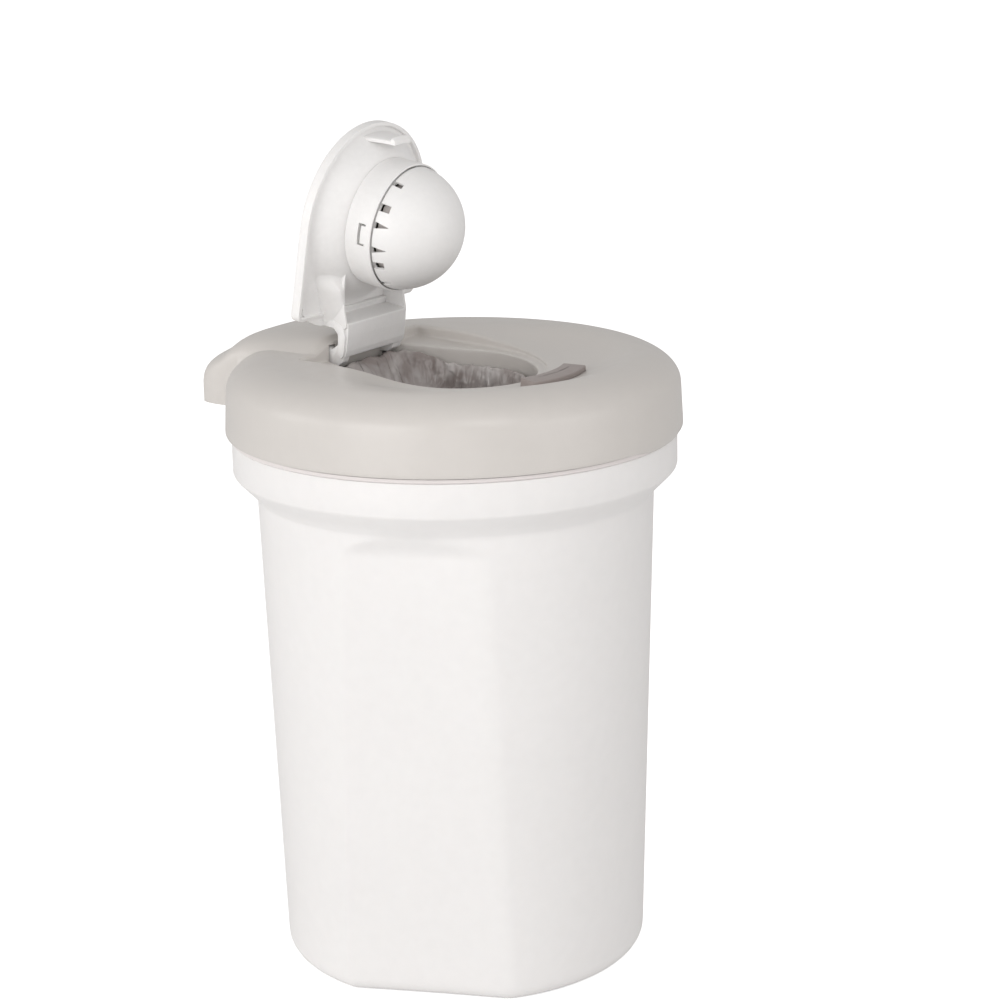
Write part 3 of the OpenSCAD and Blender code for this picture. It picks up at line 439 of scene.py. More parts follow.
# Lid cover: one warm grey moulding. The crest is level and the top inside it sinks towards the throat,
# round which a tombstone recess takes the flap. The hinge housing rises at the back and runs out over
# the edge as a handle, and a short tab at the front hooks the lid over the bag ring.
THROAT = np.array([0.0, THROAT_Y])
SEAT_Z, SEAT_TILT = 396.7, math.radians(2.87)
CREST_R, CREST_Z, SHOULDER = 117.5, 407.3, 20.0
EDGE_R, TOP_R, EDGE_Z = 149.8, 148.5, 359.6
RECESS_HALF, RECESS_BACK, RECESS_BEND_Y, RECESS_CORNER = 65.5, 75.7, 5.3, 3.0
OPENING_R, NOTCH_HALF, NOTCH_LOW = 57.8, 34.4, 393.8
POCKET_HALF, POCKET_DEPTH = 10.5, 24.0
THROAT_DEPTH, LID_WALL = 12.0, 2.5
MOUTH_ROUND, FOOT_FILLET, BROW_ROUND = 1.3, 2.2, 2.4
HOUSING_DROP, HOUSING_POWER = 15.5, 2.7
HANDLE_LOW, HANDLE_COLUMN = 365.6, 54.0


def seat_height(y):
    """Height of the sloping floor of the recess."""
    return SEAT_Z + math.tan(SEAT_TILT) * (y - THROAT[1])


def eased(x, xs, ys, width):
    """Values ys over xs joined by straight lines and then rounded by a running mean of that width."""
    offsets = np.linspace(-1, 1, 9) * width
    return np.mean([np.interp(np.asarray(x) + o, xs, ys) for o in offsets], axis=0)


def housing_half(y):
    """Half width of the hinge housing and handle."""
    return eased(y, [74, 76, 78, 82, 160, 168, 173, 175.5], [43, 46, 49.4, 51, 51, 49.5, 47, 43], 0.8)


def housing_top(x, y):
    """Height of the hinge housing and handle: a long hump along Y whose cross-section is a flattened
    superellipse. Beside its walls it falls away steeply."""
    ridge = eased(y, [74, 76, 78, 82, 100, 120, 138, 147, 155, 160, 166, 171, 174, 175.5],
                  [407, 411, 414.5, 416, 416, 415.8, 414, 411, 405, 402.5, 399.5, 397, 392, 386], 1.4)
    half = housing_half(y)
    u = np.clip(np.abs(x) / half, 0, 1)
    beyond = np.maximum(np.abs(x) - half, 0)
    return ridge - HOUSING_DROP * (1 - (1 - u ** HOUSING_POWER) ** (1 / HOUSING_POWER)) - 5.0 * beyond


def lid_top(x, y):
    """Height of the lid's top: the crest and its elliptic shoulder, the sunk bowl inside it, which rises
    with the square of the distance from the recess and is deepest in front, and the housing."""
    r = np.hypot(x, y)
    out = np.clip((r - CREST_R) / (TOP_R - CREST_R), 0, 1)
    crest = CREST_Z - SHOULDER * (1 - np.sqrt(1 - out ** 2))
    t = np.maximum(np.hypot(x, y - THROAT[1]) - 66.0, 0)
    back = step(y, -36.0, 46.0)
    bowl = seat_height(y) + 2.7 + 5.6 * back + (0.0052 - 0.0018 * back) * t ** 2
    return soft_max(soft_min(crest, bowl, 3.0), np.where(y > 60, housing_top(x, y), 0), 4.5)


def run(start, end, count):
    """Even steps from start up to end, without end."""
    return np.linspace(start, end, count, endpoint=False)


# Columns of the grid start on the recess outline, from the middle of the back round to the front.
half_line = [np.stack([x, np.full_like(x, RECESS_BACK)], -1) for x in (
    run(0, NOTCH_HALF, 28), run(NOTCH_HALF, NOTCH_HALF + 0.4, 1), run(NOTCH_HALF + 0.4, 44, 8),
    run(44, HANDLE_COLUMN, 22), run(HANDLE_COLUMN, RECESS_HALF - RECESS_CORNER, 8))]
corner = arc(RECESS_HALF - RECESS_CORNER, RECESS_BACK - RECESS_CORNER, RECESS_CORNER, 90, 0, 6)
side = np.stack([np.full(46, RECESS_HALF), np.linspace(RECESS_BACK - 4, RECESS_BEND_Y, 46)], -1)
bend = arc(0, RECESS_BEND_Y, RECESS_HALF, 0, -90, 104)[1:]

# Two columns follow the edge of the latch pocket, and those too near to it make way.
pocket_at = math.asin(POCKET_HALF / RECESS_HALF)
bend = bend[np.abs(np.arctan2(bend[:, 0], RECESS_BEND_Y - bend[:, 1]) - pocket_at) > 0.012]
edge = np.array([[x, RECESS_BEND_Y - math.sqrt(RECESS_HALF ** 2 - x ** 2)]
                 for x in (POCKET_HALF + 0.25, POCKET_HALF)])
before = bend[:, 0] > POCKET_HALF + 0.3
bend = np.concatenate([bend[before], edge, bend[~before]])
half_line = np.concatenate([*half_line, corner, side, bend])
mirror = half_line[1:-1][::-1] * [-1, 1]
recess = np.concatenate([half_line, mirror])
away = np.roll(recess, -1, 0) - np.roll(recess, 1, 0)
normal = np.stack([-away[:, 1], away[:, 0]], -1) / np.hypot(*away.T)[:, None]
normal *= np.sign(np.sum(normal * (recess - THROAT), 1))[:, None]
ray = recess - THROAT
reach = np.hypot(*ray.T)
ray = ray / reach[:, None]

# Opening: a circle whose sides run straight back to the notch, and a pocket for the latch in front. The
# straight sides leave the circle 22 degrees behind its middle, which is 68 degrees from the back.
LEAVES_AT = math.radians(22)
from_back = np.arctan2(np.abs(ray[:, 0]), ray[:, 1])
notch = np.array([NOTCH_HALF, RECESS_BACK - THROAT[1]])
tangent = OPENING_R * np.array([math.cos(LEAVES_AT), math.sin(LEAVES_AT)])
side_way = tangent - notch
across = notch[0] * side_way[1] - notch[1] * side_way[0]
hit = across / (np.abs(ray[:, 0]) * side_way[1] - ray[:, 1] * side_way[0])
opening_reach = np.where(from_back < math.radians(68), np.maximum(hit, OPENING_R), OPENING_R)
in_notch = (np.abs(recess[:, 0]) <= NOTCH_HALF + 0.01) & (recess[:, 1] > 60)
in_pocket = (np.abs(recess[:, 0]) <= POCKET_HALF + 0.01) & (recess[:, 1] < 0)
opening_reach = np.where(in_notch | in_pocket, reach, np.minimum(opening_reach, reach - 0.05))
opening = THROAT + ray * opening_reach[:, None]
share = np.clip((reach - opening_reach) / 5.0, 0, 1)[:, None]


def outer_circle(radius):
    """Where each column meets a circle round the pail's axis. Columns under the housing run parallel to
    Y, and the others fan out from the throat."""
    b = ray @ THROAT
    free = THROAT + ray * (-b + np.sqrt(b ** 2 + radius ** 2 - THROAT @ THROAT))[:, None]
    free_angle = np.arctan2(np.abs(free[:, 0]), free[:, 1])
    edge_ray = math.atan2(HANDLE_COLUMN, RECESS_BACK - THROAT[1])
    lag = math.asin(HANDLE_COLUMN / radius) - np.interp(edge_ray, np.sort(from_back), np.sort(free_angle))
    angle = free_angle + lag * (1 - step(from_back, edge_ray, math.radians(84)))
    behind = (recess[:, 1] > 60) & (np.abs(recess[:, 0]) <= HANDLE_COLUMN)
    x = np.where(behind, np.abs(recess[:, 0]), radius * np.sin(angle))
    y = np.where(behind, np.sqrt(radius ** 2 - np.minimum(x, radius) ** 2), radius * np.cos(angle))
    return np.stack([np.sign(recess[:, 0]) * x, y], -1)


def level_row(xy, z):
    """Points (x, y) at a height, which is one number or one for each point."""
    return np.concatenate([xy, np.broadcast_to(np.asarray(z, float), len(xy))[:, None]], 1)


def top_rows(start, end, shares, drop=0.0):
    """Rows of the lid's top at shares of the way from one line to another, lowered by drop."""
    lines = [start + (end - start) * f for f in shares]
    return [level_row(xy, lid_top(*xy.T) - drop) for xy in lines]


# Throat: the wall from its lower edge up, a rounded edge, and the recess floor out to the wall's foot.
floor_z = seat_height(opening[:, 1])
low = np.where(in_notch, NOTCH_LOW, floor_z - np.where(in_pocket, POCKET_DEPTH, THROAT_DEPTH))
rows = [level_row(opening, low)]
for f in (0.35, 0.7):
    rows.append(level_row(opening, low + (floor_z - MOUTH_ROUND - low) * f))
for x, z in arc(MOUTH_ROUND, -MOUTH_ROUND, MOUTH_ROUND, 180, 90, 4):
    rows.append(level_row(opening + ray * share * x, floor_z + z))
mouth = ray * share * MOUTH_ROUND
wall_foot = recess - ray * share * FOOT_FILLET
for f in (0.25, 0.5, 0.75):
    xy = opening + mouth + (wall_foot - opening - mouth) * f
    rows.append(level_row(xy, seat_height(xy[:, 1])))

# Recess wall: a rounded foot and brow. From there the top runs out over the bowl and the crest.
foot_z = seat_height(recess[:, 1])
brow = recess + normal * BROW_ROUND
brow_z = lid_top(*brow.T)
rise = np.clip((brow_z - foot_z) / 5.2, 0.1, 1.0)
for x, z in arc(-FOOT_FILLET, FOOT_FILLET, FOOT_FILLET, -90, 0, 5):
    rows.append(level_row(recess + ray * share * x, foot_z + z * rise))
for x, z in arc(BROW_ROUND, -BROW_ROUND, BROW_ROUND, 180, 90, 6):
    rows.append(level_row(recess + normal * x, brow_z + (z * rise if x < BROW_ROUND - 0.1 else 0)))
crest_line, shoulder_line = outer_circle(CREST_R), outer_circle(TOP_R)
rows += top_rows(brow, crest_line, np.linspace(0, 1, 22)[1:])
rows += top_rows(crest_line, shoulder_line, np.sin(np.linspace(0, np.pi / 2, 18))[1:])

# Outside: the lid's wall down to its edge, with the snap tab at the front, and round the edge.
out = shoulder_line / np.hypot(*shoulder_line.T)[:, None]
front = np.degrees(np.arctan2(out[:, 0], -out[:, 1]))
tab = step(front, -7.0, 2.0) * (1 - step(front, 20.6, 21.4))
top_z = lid_top(*shoulder_line.T)
wall_top = np.minimum(top_z, CREST_Z - SHOULDER)
for f in (0.12, 0.35, 0.6, 0.8):
    z = wall_top + (EDGE_Z + 2.6 - wall_top) * f
    rows.append(level_row(out * (TOP_R + (EDGE_R - TOP_R) * f), np.where(f < 0.13, 0.5 * (z + top_z), z)))
for x, z, tab_in, tab_down in ((0.0, 2.6, 0, 0), (0.0, 0.9, 1.9, 3.0), (-0.3, 0.25, 1.9, 3.0),
                               (-0.9, 0.0, 1.9, 3.0), (-2.2, 0.0, 0.7, 2.6), (-2.5, 6.0, 0, 0)):
    rows.append(level_row(out * (EDGE_R + x - tab_in * tab)[:, None], EDGE_Z + z - tab_down * tab))

# Under side: the same surfaces a wall's thickness lower, from the shoulder back to the throat.
inner_line = out * (TOP_R - LID_WALL)
rows.append(level_row(inner_line, wall_top - 2.0))
for f in np.sin(np.linspace(0, np.pi / 2, 8))[::-1][1:-1]:
    xy = crest_line + (inner_line - crest_line) * f
    rows.append(level_row(xy, lid_top(*(crest_line + (shoulder_line - crest_line) * f).T) - LID_WALL))
inner_brow = recess + normal * 5.0
rows += top_rows(inner_brow, crest_line, (1.0, 0.66, 0.33, 0.0), LID_WALL)
rows.append(level_row(recess + normal * LID_WALL, np.minimum(foot_z, brow_z - 0.5) - LID_WALL))
skirt = opening + normal * (LID_WALL * (0.35 + 0.65 * share))
rows.append(level_row(skirt, np.maximum(floor_z - LID_WALL, low + 0.5)))
rows.append(level_row(skirt, low))
cover_rows = np.array(rows + rows[:1])


# The handle is an inverted trough: the housing's sections beyond the lid's wall, closed at the end, with
# a hollow for the fingers below.
def trough(places, inset, low):
    """Sections across the handle: up one side, over the top and down the other. Each place is (y, w):
    w 0 follows the lid's round wall, w 1 lies straight across at y."""
    found = []
    t = np.linspace(-1, 1, 61)
    for straight, w in places:
        half = float(housing_half(straight)) - inset
        x = half * np.sin(t * np.pi / 2)
        y = (1 - w) * np.sqrt((TOP_R - inset) ** 2 - x ** 2) + w * straight
        z = housing_top(x * (half + inset) / half, y) - inset
        down = np.linspace(0, 1, 7)[1:]
        left = np.stack([np.full(6, x[0]), np.full(6, y[0]), (z[0] + (low - z[0]) * down)], -1)[::-1]
        found.append(np.concatenate([left, np.stack([x, y, z], -1), left[::-1] * [-1, 1, 1]]))
    return found


straight_at = (154, 157, 160, 163, 166, 168.5, 170.5, 172, 173.2, 174.2, 174.9, 175.3)
sections = trough([(149, 0), (149.5, 0.25), (151, 0.5), (152.5, 0.75)] + [(y, 1) for y in straight_at],
                  0.0, HANDLE_LOW)
end_middle = np.array([0, 175.4, 376.0])
sections += [end_middle + (sections[-1] - end_middle) * [0.9, 0, 0.88]]
hollow = trough([(y, 1) for y in (152, 156, 160, 164, 168, 172.4)], 2.6, 350.0)


def cut_away(ob, *cutters):
    """Takes the cutters' closed shells out of a piece and drops the cutters."""
    for cutter in cutters:
        cut = ob.modifiers.new("cut", "BOOLEAN")
        cut.operation, cut.solver, cut.object = "DIFFERENCE", "EXACT", cutter
    graph = bpy.context.evaluated_depsgraph_get()
    made = bpy.data.meshes.new_from_object(ob.evaluated_get(graph))
    ob.modifiers.clear()
    ob.data = made
    for cutter in cutters:
        bpy.data.objects.remove(cutter)


def block(x, y, z, place=None):
    """Plain box between pairs of limits, only ever used to cut."""
    ring = np.array([[x[0], y[0]], [x[1], y[0]], [x[1], y[1]], [x[0], y[1]]], float)
    return add_piece("cutter", [capped([level_row(ring, z[0]), level_row(ring, z[1])])], place=place)


seat = Matrix.Translation((0, THROAT_Y / 1000, SEAT_Z / 1000)) @ Matrix.Rotation(SEAT_TILT, 4, "X")
lid_grey = plastic("lid_grey", (0.640, 0.612, 0.582), rough=0.34, grain=1700, bump=0.03, mottle=0.012,
                   cloud=7.0, coat=0.22)
cover = add_piece("lid_cover", [grid_shell(cover_rows)])
ARM_AT, SLOT_HALF = 29.5, 4.1
slots = [block((s * ARM_AT - SLOT_HALF, s * ARM_AT + SLOT_HALF), (73, 81), (376, 410.6)) for s in (-1, 1)]


# Button: a curved push button moulded in darker grey, sunk in the sloping top in front of the throat. It
# has a crowned top and stands in its pocket with a narrow gap all round.
BUTTON_HALF, BUTTON_CORNER, BUTTON_GAP = math.radians(20), 1.6, 0.45
BUTTON_INNER, BUTTON_OUTER = 76.0, 91.5


def spun(points, spin):
    """Points (x, y) turned about the origin by an angle."""
    c, s = math.cos(spin), math.sin(spin)
    return points @ np.array([[c, s], [-s, c]])


def sector_ring(inset):
    """The button's outline moved inwards: both arcs and both ends by the same distance, with corners
    rounded by a circle that is smaller by that distance."""
    corner_r = max(BUTTON_CORNER - inset, 0.25)
    r0, r1 = BUTTON_INNER + inset, BUTTON_OUTER - inset
    found = []
    for r, start, stop, bulge in ((r1, 1, -1, 1), (r0, -1, 1, -1)):
        swing = BUTTON_HALF - math.asin((inset + corner_r) / (r - bulge * corner_r))
        t = np.linspace(start, stop, 44) * swing
        found.append(np.stack([r * np.sin(t), -r * np.cos(t)], -1))
        turn_at = stop * swing
        centre = (r - bulge * corner_r) * np.array([math.sin(turn_at), -math.cos(turn_at)])
        here = found[-1][-1] - centre
        quarter = np.radians(np.linspace(0, 90, 6))[1:]
        found += [(centre + spun(here, q * stop * bulge))[None] for q in quarter]
    return np.concatenate(found)


ring = sector_ring(-BUTTON_GAP)
pocket = add_piece("cutter", [capped([level_row(ring, -12), level_row(ring, 30)])], place=seat)
cut_away(cover, *slots, pocket)
handle = add_piece("handle", [capped(sections)])
cut_away(handle, add_piece("cutter", [capped(hollow)]))
for ob in (cover, handle):
    smooth(ob, 34)
    paint(ob.data, lid_grey)
    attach(ob, "lid")
    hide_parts("lid_cover")
handle.name = "lid_handle"

# The button's top rises to its crown from a 1 mm rounded edge.
rows = [level_row(sector_ring(0.0), 0.5)]
for inset, z in [*arc(1.0, 8.4, 1.0, 180, 90, 5), (2.4, 9.6), (4.2, 9.75), (5.8, 9.85), (7.2, 9.87)]:
    rows.append(level_row(sector_ring(inset), z))
button = add_piece("button", [capped(rows)], "button", ["button"], sharp=40, place=seat)
paint(button.data, plastic("button_grey", (0.345, 0.300, 0.285), rough=0.38, grain=1600, bump=0.05,
                           mottle=0.03))


# Flap: drawn shut in its own frame, where z 0 is the plane of its brim and the tongue is at -y, and then
# swung open about the hinge pin. Its frame is one white moulding: a brim plate, a bulging crown that
# carries the dome, cheeks, a gooseneck and a latch tongue.
PIN = (0.0, 0.0884, 0.4096)
OPEN_ANGLE, BRIM_GAP = math.radians(-82.9), 0.0003
flap_place = (Matrix.Translation(PIN) @ Matrix.Rotation(OPEN_ANGLE, 4, "X")
              @ Matrix.Translation([-c for c in PIN]) @ seat @ Matrix.Translation((0, 0, BRIM_GAP)))
PIN_FLAP = np.array([85.64, 8.32])
FLAP_HALF, FLAP_TAIL, FLAP_FRONT_Y, FLAP_CORNER = 64.5, 63.0, 2.0, 5.0
BRIM_IN, BRIM_LOW, BRIM_HIGH = 2.7, 2.8, 5.2
CROWN_OUT, CROWN_IN, CROWN_WALL = 61.5, 38.0, 2.4
# Painted light: the flap's white is lighter than the pail's, because the flap lies in more shade.
flap_white = plastic("flap_white", (0.900, 0.893, 0.885), rough=0.44, grain=900, bump=0.10, mottle=0.02,
                     cloud=20.0, sss=0.04)


def tombstone(inset):
    """Outline of the flap, inset by a distance: a half circle in front and straight sides to a square
    tail with rounded corners. It runs from the tail's middle round by +x."""
    half, tail = FLAP_HALF - inset, FLAP_TAIL - inset
    c = max(FLAP_CORNER - inset, 0.6)
    x = np.linspace(0, half - c, 24)
    line = [np.stack([x, np.full_like(x, tail)], -1), arc(half - c, tail - c, c, 90, 0, 8)[1:],
            np.stack([np.full(22, half), np.linspace(tail - c, FLAP_FRONT_Y, 24)[1:-1]], -1),
            arc(0, FLAP_FRONT_Y, half, 0, -90, 72)]
    line = np.concatenate(line)
    return np.concatenate([line, line[1:-1][::-1] * [-1, 1]])


def crown_z(r):
    """Height of the frame's under side at a distance from the dome's axis: a flat channel outside, then
    a bulge that runs down to the collar."""
    return eased(r, [40, 42.4, 43.6, 46, 49, 52, 54.6, 56.8, 58.6, 60.5, 70],
                 [-13.2, -13.1, -12.9, -11.4, -8.6, -5.0, -1.4, 1.2, 2.4, 2.8, 2.8], 1.1)


def crown_ring(radius):
    """Radius of a ring of the crown in each column, kept just inside the outline."""
    return np.minimum(radius, span - 0.02 * (61.6 - radius))


# Plate and crown: the under side from the collar's seat out to the brim's edge, and the upper side back.
outline = tombstone(BRIM_IN)
way = outline / np.hypot(*outline.T)[:, None]
span = np.hypot(*outline.T)
rows = [level_row(way * CROWN_IN, -10.4)]
for radius in np.concatenate([[CROWN_IN], np.linspace(41.0, CROWN_OUT, 30)]):
    r = crown_ring(radius)
    rows.append(level_row(way * r[:, None], crown_z(r)))
for f in (0.3, 0.6, 0.85, 1.0):
    r = CROWN_OUT + (span - CROWN_OUT) * f
    rows.append(level_row(way * r[:, None], BRIM_LOW))
rows.append(level_row(outline, BRIM_HIGH))
for radius in (60.0, 57.0, 54.0, 51.0, 48.0, 45.0, 42.0, CROWN_IN):
    r = crown_ring(radius)
    rows.append(level_row(way * r[:, None], np.minimum(crown_z(r - 1.6) + CROWN_WALL, BRIM_HIGH)))
frame_shells = [grid_shell(np.array(rows + rows[:1]))]


def rounded(points, radii):
    """Side view with its corners rounded: each corner gives an arc that touches both of its edges."""
    p = np.asarray(points, float)
    found = []
    for i, r in enumerate(np.broadcast_to(radii, len(p))):
        a, b = p[i - 1] - p[i], p[(i + 1) % len(p)] - p[i]
        la, lb = np.hypot(*a), np.hypot(*b)
        a, b = a / la, b / lb
        half = 0.5 * math.acos(np.clip(a @ b, -1, 1))
        d = min(r / math.tan(half), 0.48 * la, 0.48 * lb)
        if d < 0.02:
            found.append(p[i][None])
            continue
        t = np.linspace(0, 1, 7)[:, None]
        start, end = p[i] + a * d, p[i] + b * d
        found.append((1 - t) ** 2 * start + 2 * t * (1 - t) * p[i] + t ** 2 * end)
    return np.concatenate(found)


def side_slab(points, x0, x1, bevel, radii):
    """Slab with a side view (y, z), carried along X, with a bevel of that width at both ends."""
    ring = rounded(points, radii)
    area = 0.5 * np.sum(ring[:, 0] * np.roll(ring[:, 1], -1) - np.roll(ring[:, 0], -1) * ring[:, 1])
    d = np.roll(ring, -1, 0) - np.roll(ring, 1, 0)
    inward = np.stack([-d[:, 1], d[:, 0]], -1) / np.maximum(np.hypot(*d.T), 1e-6)[:, None] * np.sign(area)
    rows = []
    for x, inset in ((x0, 1.0), (x0 + 0.3 * bevel, 0.3), (x0 + bevel, 0.0), (x1 - bevel, 0.0),
                     (x1 - 0.3 * bevel, 0.3), (x1, 1.0)):
        rows.append(np.concatenate([np.full((len(ring), 1), x), ring + inward * bevel * inset], 1))
    m, n = len(rows), len(ring)
    points, faces = grid_shell(rows)
    faces += [list(range(n))[::-1], list(range((m - 1) * n, m * n))]
    return points, faces


def from_pin(points):
    """Side view given from the hinge pin, moved to the flap's own frame."""
    return np.asarray(points, float) + PIN_FLAP


def slab_at(s, inner, outer, points, bevel, radii):
    """Slab between two distances from the middle, on side s."""
    return side_slab(points, min(s * inner, s * outer), max(s * inner, s * outer), bevel, radii)


# Gooseneck: a curved skin from the flap's tail to under the hinge pin, with a thicker band along either
# edge and an arm at each side that ends in the pin's boss. Cheeks stiffen it against the crown.
SKIN = [(-21, 2), (-21.2, -25.3), (-12, -26.0), (-2.5, -26.2), (1.4, -25.5), (2.4, -24.6),
        (1.2, -22.9), (-3, -23.4), (-11.5, -22.6), (-15, -19.5), (-15.9, -14), (-15.8, 2)]
BAND = [(-21, 2), (-21, -15), (-19.8, -20), (-16.8, -23.2), (-12, -24.9), (-2.5, -25.3), (1.0, -24.7),
        (3.4, -23.4), (1.2, -20.6), (-3, -20.8), (-11.0, -20.4), (-14.4, -18), (-16.4, -13), (-16.4, 2)]
ARM = [(-20.7, 2), (-20.9, -14.8), (-19.7, -20.2), (-16.8, -23.6), (-11.9, -25.4), (-2.5, -25.8),
       (5.4, -24.2), (9, -20.6), (9.8, -15), (3.4, -1), (2.2, 1.2), (0, 1.7), (-2.2, 1.0), (-3.4, -1),
       (-0.6, -14), (-5, -18.5), (-12, -17.5), (-15.9, -13), (-15.8, 2)]
CHEEK = [(24, 3.5), (24, -11.6), (30, -11.3), (38, -11.0), (45, -11.2), (52, -12.4), (58, -14.0),
         (63, -15.8), (67, -16.6), (69.4, -14), (69.4, 4.5)]
frame_shells.append(side_slab(from_pin(SKIN), -32.4, 32.4, 0.3, [1.5, 1.1, 3, 3, 1, 1] + [3.0] * 6))
for s in (-1, 1):
    arm_inner = 26.0 if s < 0 else 22.4
    arm_radii = [1.5] + [5.0] * 5 + [1.6] * 12 + [1.0]
    frame_shells += [slab_at(s, arm_inner, 32.5, from_pin(ARM), 0.7, arm_radii),
                     slab_at(s, 32.0, 34.2, from_pin(BAND), 0.6, 4.0),
                     slab_at(s, 32.0, 33.9, CHEEK, 0.6, 2.4)]
frame_shells.append(side_slab([(64.7, -7), (69.6, -7), (69.6, 11.5), (64.7, 11.5)], -34.5, 34.5, 0.5, 0.8))


def strip_shell(rows):
    """Shell of a bent slab. Each row runs along one face and back along the other, and quads between the
    two faces cap the first and the last row."""
    points, faces = grid_shell(rows)
    n = len(rows[0])
    for first, after in ((0, n), (len(points) - n, len(points))):
        faces += [[first + i, first + i + 1, after - 2 - i, after - 1 - i] for i in range(n // 2 - 1)]
    return points, faces


def side_web(s, ys, swell):
    """Web between the plate and a cheek: a slight ramp outside the throat, then a steep flank inside it.
    Swell thickens it, for the rim along its foot."""
    rows = []
    u = np.linspace(0, 1, 26)
    for y_at_cheek in ys:
        x, y = 58.0 - 24.0 * u, y_at_cheek - 11.0 * (1 - u) ** 2
        inner = np.clip((33.2 + (72.4 - y) * 0.378 - x) / 7.0, 0, 1)
        front = np.interp(y, [24, 38, 52, 63, 69], [-11.6, -11.0, -12.2, -15.0, -15.8])
        z = 3.1 - 1.6 * u ** 0.8 + (front - 1.5) * inner ** 0.85
        crown = crown_z(np.hypot(x, y)) + 0.8
        z = crown + (z - crown) * step(y, 30.0, 44.0) - swell
        low = np.stack([s * (x + 0.8 * swell * inner), y, z], -1)
        high = np.stack([s * x, y, np.full(len(u), 4.2)], -1)
        rows.append(np.concatenate([low, high[::-1]]))
    return strip_shell(rows)


for s in (-1, 1):
    frame_shells += [side_web(s, np.linspace(29, 66.4, 20), 0.0),
                     side_web(s, (65.9, 66.1, 66.4, 69.0, 69.3, 69.5), 1.0)]

# Latch tongue: a tab at the front of the brim, curved with the throat and flared at its root like a
# hood, with a barb near its end that snaps under the latch. TONGUE lists height, half width and barb.
TONGUE = [(4.0, 14.5, 0.0), (0.0, 13.6, 0.0), (-4.0, 12.4, 0.0), (-8.0, 11.2, 0.0), (-12.0, 10.2, 0.0),
          (-15.5, 9.5, 0.0), (-17.3, 9.2, 0.0), (-17.9, 9.1, 1.7), (-18.7, 9.0, 1.8), (-20.4, 8.9, 0.4),
          (-20.9, 8.6, -0.2), (-21.0, 8.2, -0.6)]
TONGUE_OUT, TONGUE_IN, TONGUE_BEND_R = -56.4, -53.8, 57.6
rows = []
for z, half, barb in TONGUE:
    x = np.linspace(-half, half, 25)
    bow = np.sqrt(TONGUE_BEND_R ** 2 - x ** 2) - TONGUE_BEND_R
    out = np.stack([x, TONGUE_OUT - barb - bow, np.full_like(x, z)], -1)
    back = np.stack([x * 0.98, TONGUE_IN - bow, np.full_like(x, z)], -1)
    rows.append(np.concatenate([out, back[::-1]]))
rows = np.array(rows)
rows[:, [0, 24], 1] += 0.4
frame_shells.append(strip_shell(rows))
flap_frame = add_piece("flap_frame", frame_shells, "flap", ["flap_frame"], sharp=36,
                       place=flap_place)
paint(flap_frame.data, flap_white)


# Flap cover: the domed lid of the flap, a thin white shell with a 7 mm edge. Four posts inside it take the
# screws that hold it to the frame, and its tail closes the gooseneck's foot from above.
COVER_TOP, COVER_RISE = 17.0, 10.0
POST_R, POST_FOOT, POST_CIRCLE = 3.6, -10.2, 34.0


def dome_top(x, y, inset):
    """Height of the cover: a ball at the front that runs out into a long round back."""
    ball = (FLAP_HALF ** 2 + COVER_RISE ** 2) / (2 * COVER_RISE)
    forward = np.minimum(y - FLAP_FRONT_Y, 0)
    return COVER_TOP - ball + np.sqrt((ball - inset) ** 2 - x ** 2 - forward ** 2)


def tomb_rows(inset, skip):
    """Rows of the cover's top from its edge to its middle line, at an inset from the outer face."""
    edge = tombstone(inset)
    spine = np.stack([np.zeros(len(edge)), np.clip(edge[:, 1], FLAP_FRONT_Y, FLAP_TAIL - inset)], -1)
    lines = [edge + (spine - edge) * f * 0.999 for f in np.linspace(0, 1, 22)[skip:]]
    return [level_row(xy, dome_top(*xy.T, inset)) for xy in lines]


foot = ((2.5, 0.35), (2.2, 0.05), (0.5, 0.0), (0.1, 0.25), (0.0, 0.7))
rows = [level_row(tombstone(inset), z) for inset, z in foot]
side_line = tombstone(0.0)
rows += [level_row(side_line, 0.7 + f * (dome_top(*side_line.T, 0) - 2.2)) for f in (0.3, 0.7)]
for x, z in arc(1.5, -1.5, 1.5, 180, 90, 5):
    line = tombstone(x)
    rows.append(level_row(line, dome_top(*line.T, 0) + z))
cover_shells = [grid_shell(rows + tomb_rows(1.5, 1) + tomb_rows(2.5, 0)[::-1] + rows[:1])]
for angle in (45, 135, 225, 315):
    x = POST_CIRCLE * math.cos(math.radians(angle))
    y = POST_CIRCLE * math.sin(math.radians(angle))
    post = revolve([(POST_R, POST_FOOT), (POST_R, dome_top(x, y, 2.2) - 0.1)], 24) + [x, y, 0]
    cover_shells.append(capped(post))
tail = [(61.0, 0.3), (69.8, 0.3), (69.8, 12.0), (68, 14.0), (61.0, 14.4)]
cover_shells.append(side_slab(tail, -35.0, 35.0, 0.8, 0.9))
flap_cover = add_piece("flap_cover", cover_shells, "flap", ["flap_cover"], sharp=36,
                       place=flap_place)
paint(flap_cover.data, flap_white)


# Collar: a short white moulded tube with a proud lip on the crown. The dome snaps into it by a tab at
# either side, cut free by a slot shaped like a C that runs on into the dome.
SNAP_Y, SNAP_SLOT_IN, SNAP_SLOT_OUT = 7.2, 35.6, 44.0
outside = [(29.5, -13.05), (41.9, -13.05), (42.5, -13.5), (42.6, -20), (42.7, -27), (42.7, -32.5)]
inside = [(41.7, -33.0), (41.4, -32.6), (41.2, -30.6), (39.4, -29.4), (39.4, -15.6), (29.5, -15.5),
          (29.5, -13.05)]
profile = np.concatenate([outside, arc(42.2, -32.5, 0.5, 0, -90, 4), inside])
collar = add_piece("dome_collar", [grid_shell(revolve(profile, 192))], place=flap_place)


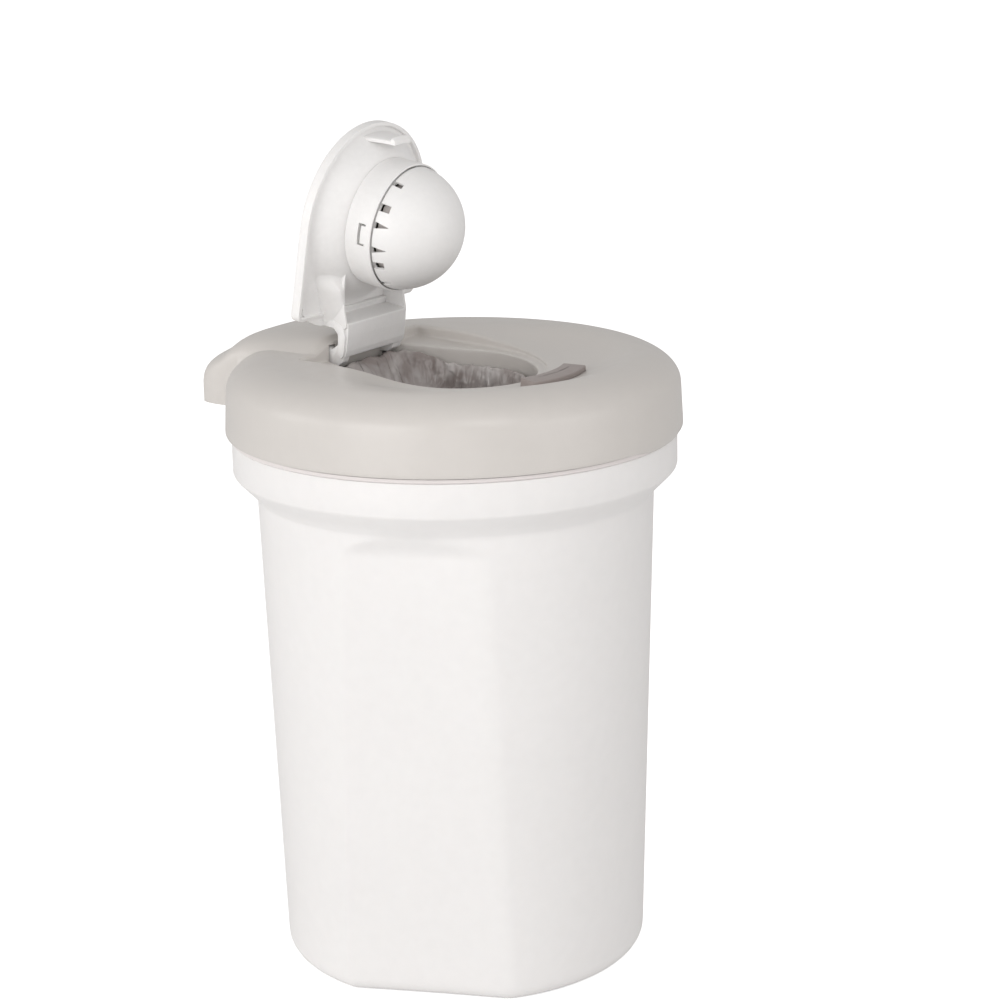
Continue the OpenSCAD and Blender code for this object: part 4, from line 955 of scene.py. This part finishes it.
def snap_slots():
    """Cutters for the C slots of both snap tabs: two short legs and the bar that joins them."""
    legs = [((-SNAP_Y, -5.9), (-28.6, -23.1)), ((5.9, SNAP_Y), (-28.6, -23.1))]
    bar = ((-SNAP_Y, SNAP_Y), (-25.3, -23.1))
    return [block(sorted((s * SNAP_SLOT_IN, s * SNAP_SLOT_OUT)), y, z, flap_place)
            for s in (-1, 1) for y, z in (*legs, bar)]


cut_away(collar, *snap_slots())
smooth(collar, 36)
paint(collar.data, flap_white)
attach(collar, "flap")
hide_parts("dome_collar")


# Scent dome: a white moulded ball with vents round its rim, straight slots and two tapered slits at each
# snap. A grey sleeve behind the vents, painted shade that darkens them, sits inside it, and so does the
# scent disc, a cake of gel.
DOME_R, DOME_Z, DOME_WALL = 41.2, -28.0, 1.8
VENTS = [(-55, 3.9, 3.7, -40.2), (-28.5, 5.6, 5.2, -41.0), (-11.6, 5.0, 0.4, -43.0),
         (11.6, 5.0, 0.4, -43.0), (28.5, 5.2, 4.8, -40.8), (55, 3.9, 3.7, -40.2)]
ball = arc(0, DOME_Z, DOME_R, -90, -7.9, 40)
skin = arc(0, DOME_Z, DOME_R - DOME_WALL, -9.5, -90, 30)
profile = np.concatenate([ball, [(40.6, -33.5), (39.4, -33.3), (39.1, -32.6), (39.1, -16.2), (37.5, -15.9),
                                 (37.4, -16.2), (37.4, -33.5)], skin])
dome = add_piece("scent_dome", [grid_shell(revolve(profile, 192))], place=flap_place)

# Each vent has an angle round the rim, widths at the rim and at its end, and the height of that end.
vents = []
for s in (-1, 1):
    for angle, rim_width, end_width, end in VENTS:
        half = rim_width / 2
        ring = np.array([[30, -half], [50, -half], [50, half], [30, half]])
        tip = ring * [1, end_width / rim_width]
        spin = math.radians(angle) + (math.pi if s < 0 else 0)
        shell = capped([level_row(spun(tip, spin), end), level_row(spun(ring, spin), -32.9)])
        vents.append(add_piece("cutter", [shell], place=flap_place))
cut_away(dome, *vents, *snap_slots())
smooth(dome, 36)
paint(dome.data, plastic("dome_white", (0.892, 0.886, 0.878), rough=0.36, grain=1000, bump=0.07,
                         mottle=0.015, cloud=20.0, sss=0.04))
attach(dome, "dome")
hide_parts("scent_dome")
# Painted shade: a grey sleeve just inside the dome wall, so that the vents look dark.
sleeve = [(35.6, -33.2), (35.6, -44.0), (34.6, -44.0), (34.6, -33.2), (35.6, -33.2)]
vent_shade_sleeve = add_piece("vent_shade_sleeve", [grid_shell(revolve(sleeve, 96))], "dome", ["scent_dome"],
                          place=flap_place)
paint(vent_shade_sleeve.data, plastic("vent_shade_grey", (0.62, 0.58, 0.56), rough=0.8, grain=900, bump=0.1,
                                  mottle=0.06, cloud=60))
finish_node("scent_disc", plastic("scent_gel", (0.33, 0.36, 0.31), rough=0.6, grain=900, bump=0.1,
                                  mottle=0.08, cloud=60))
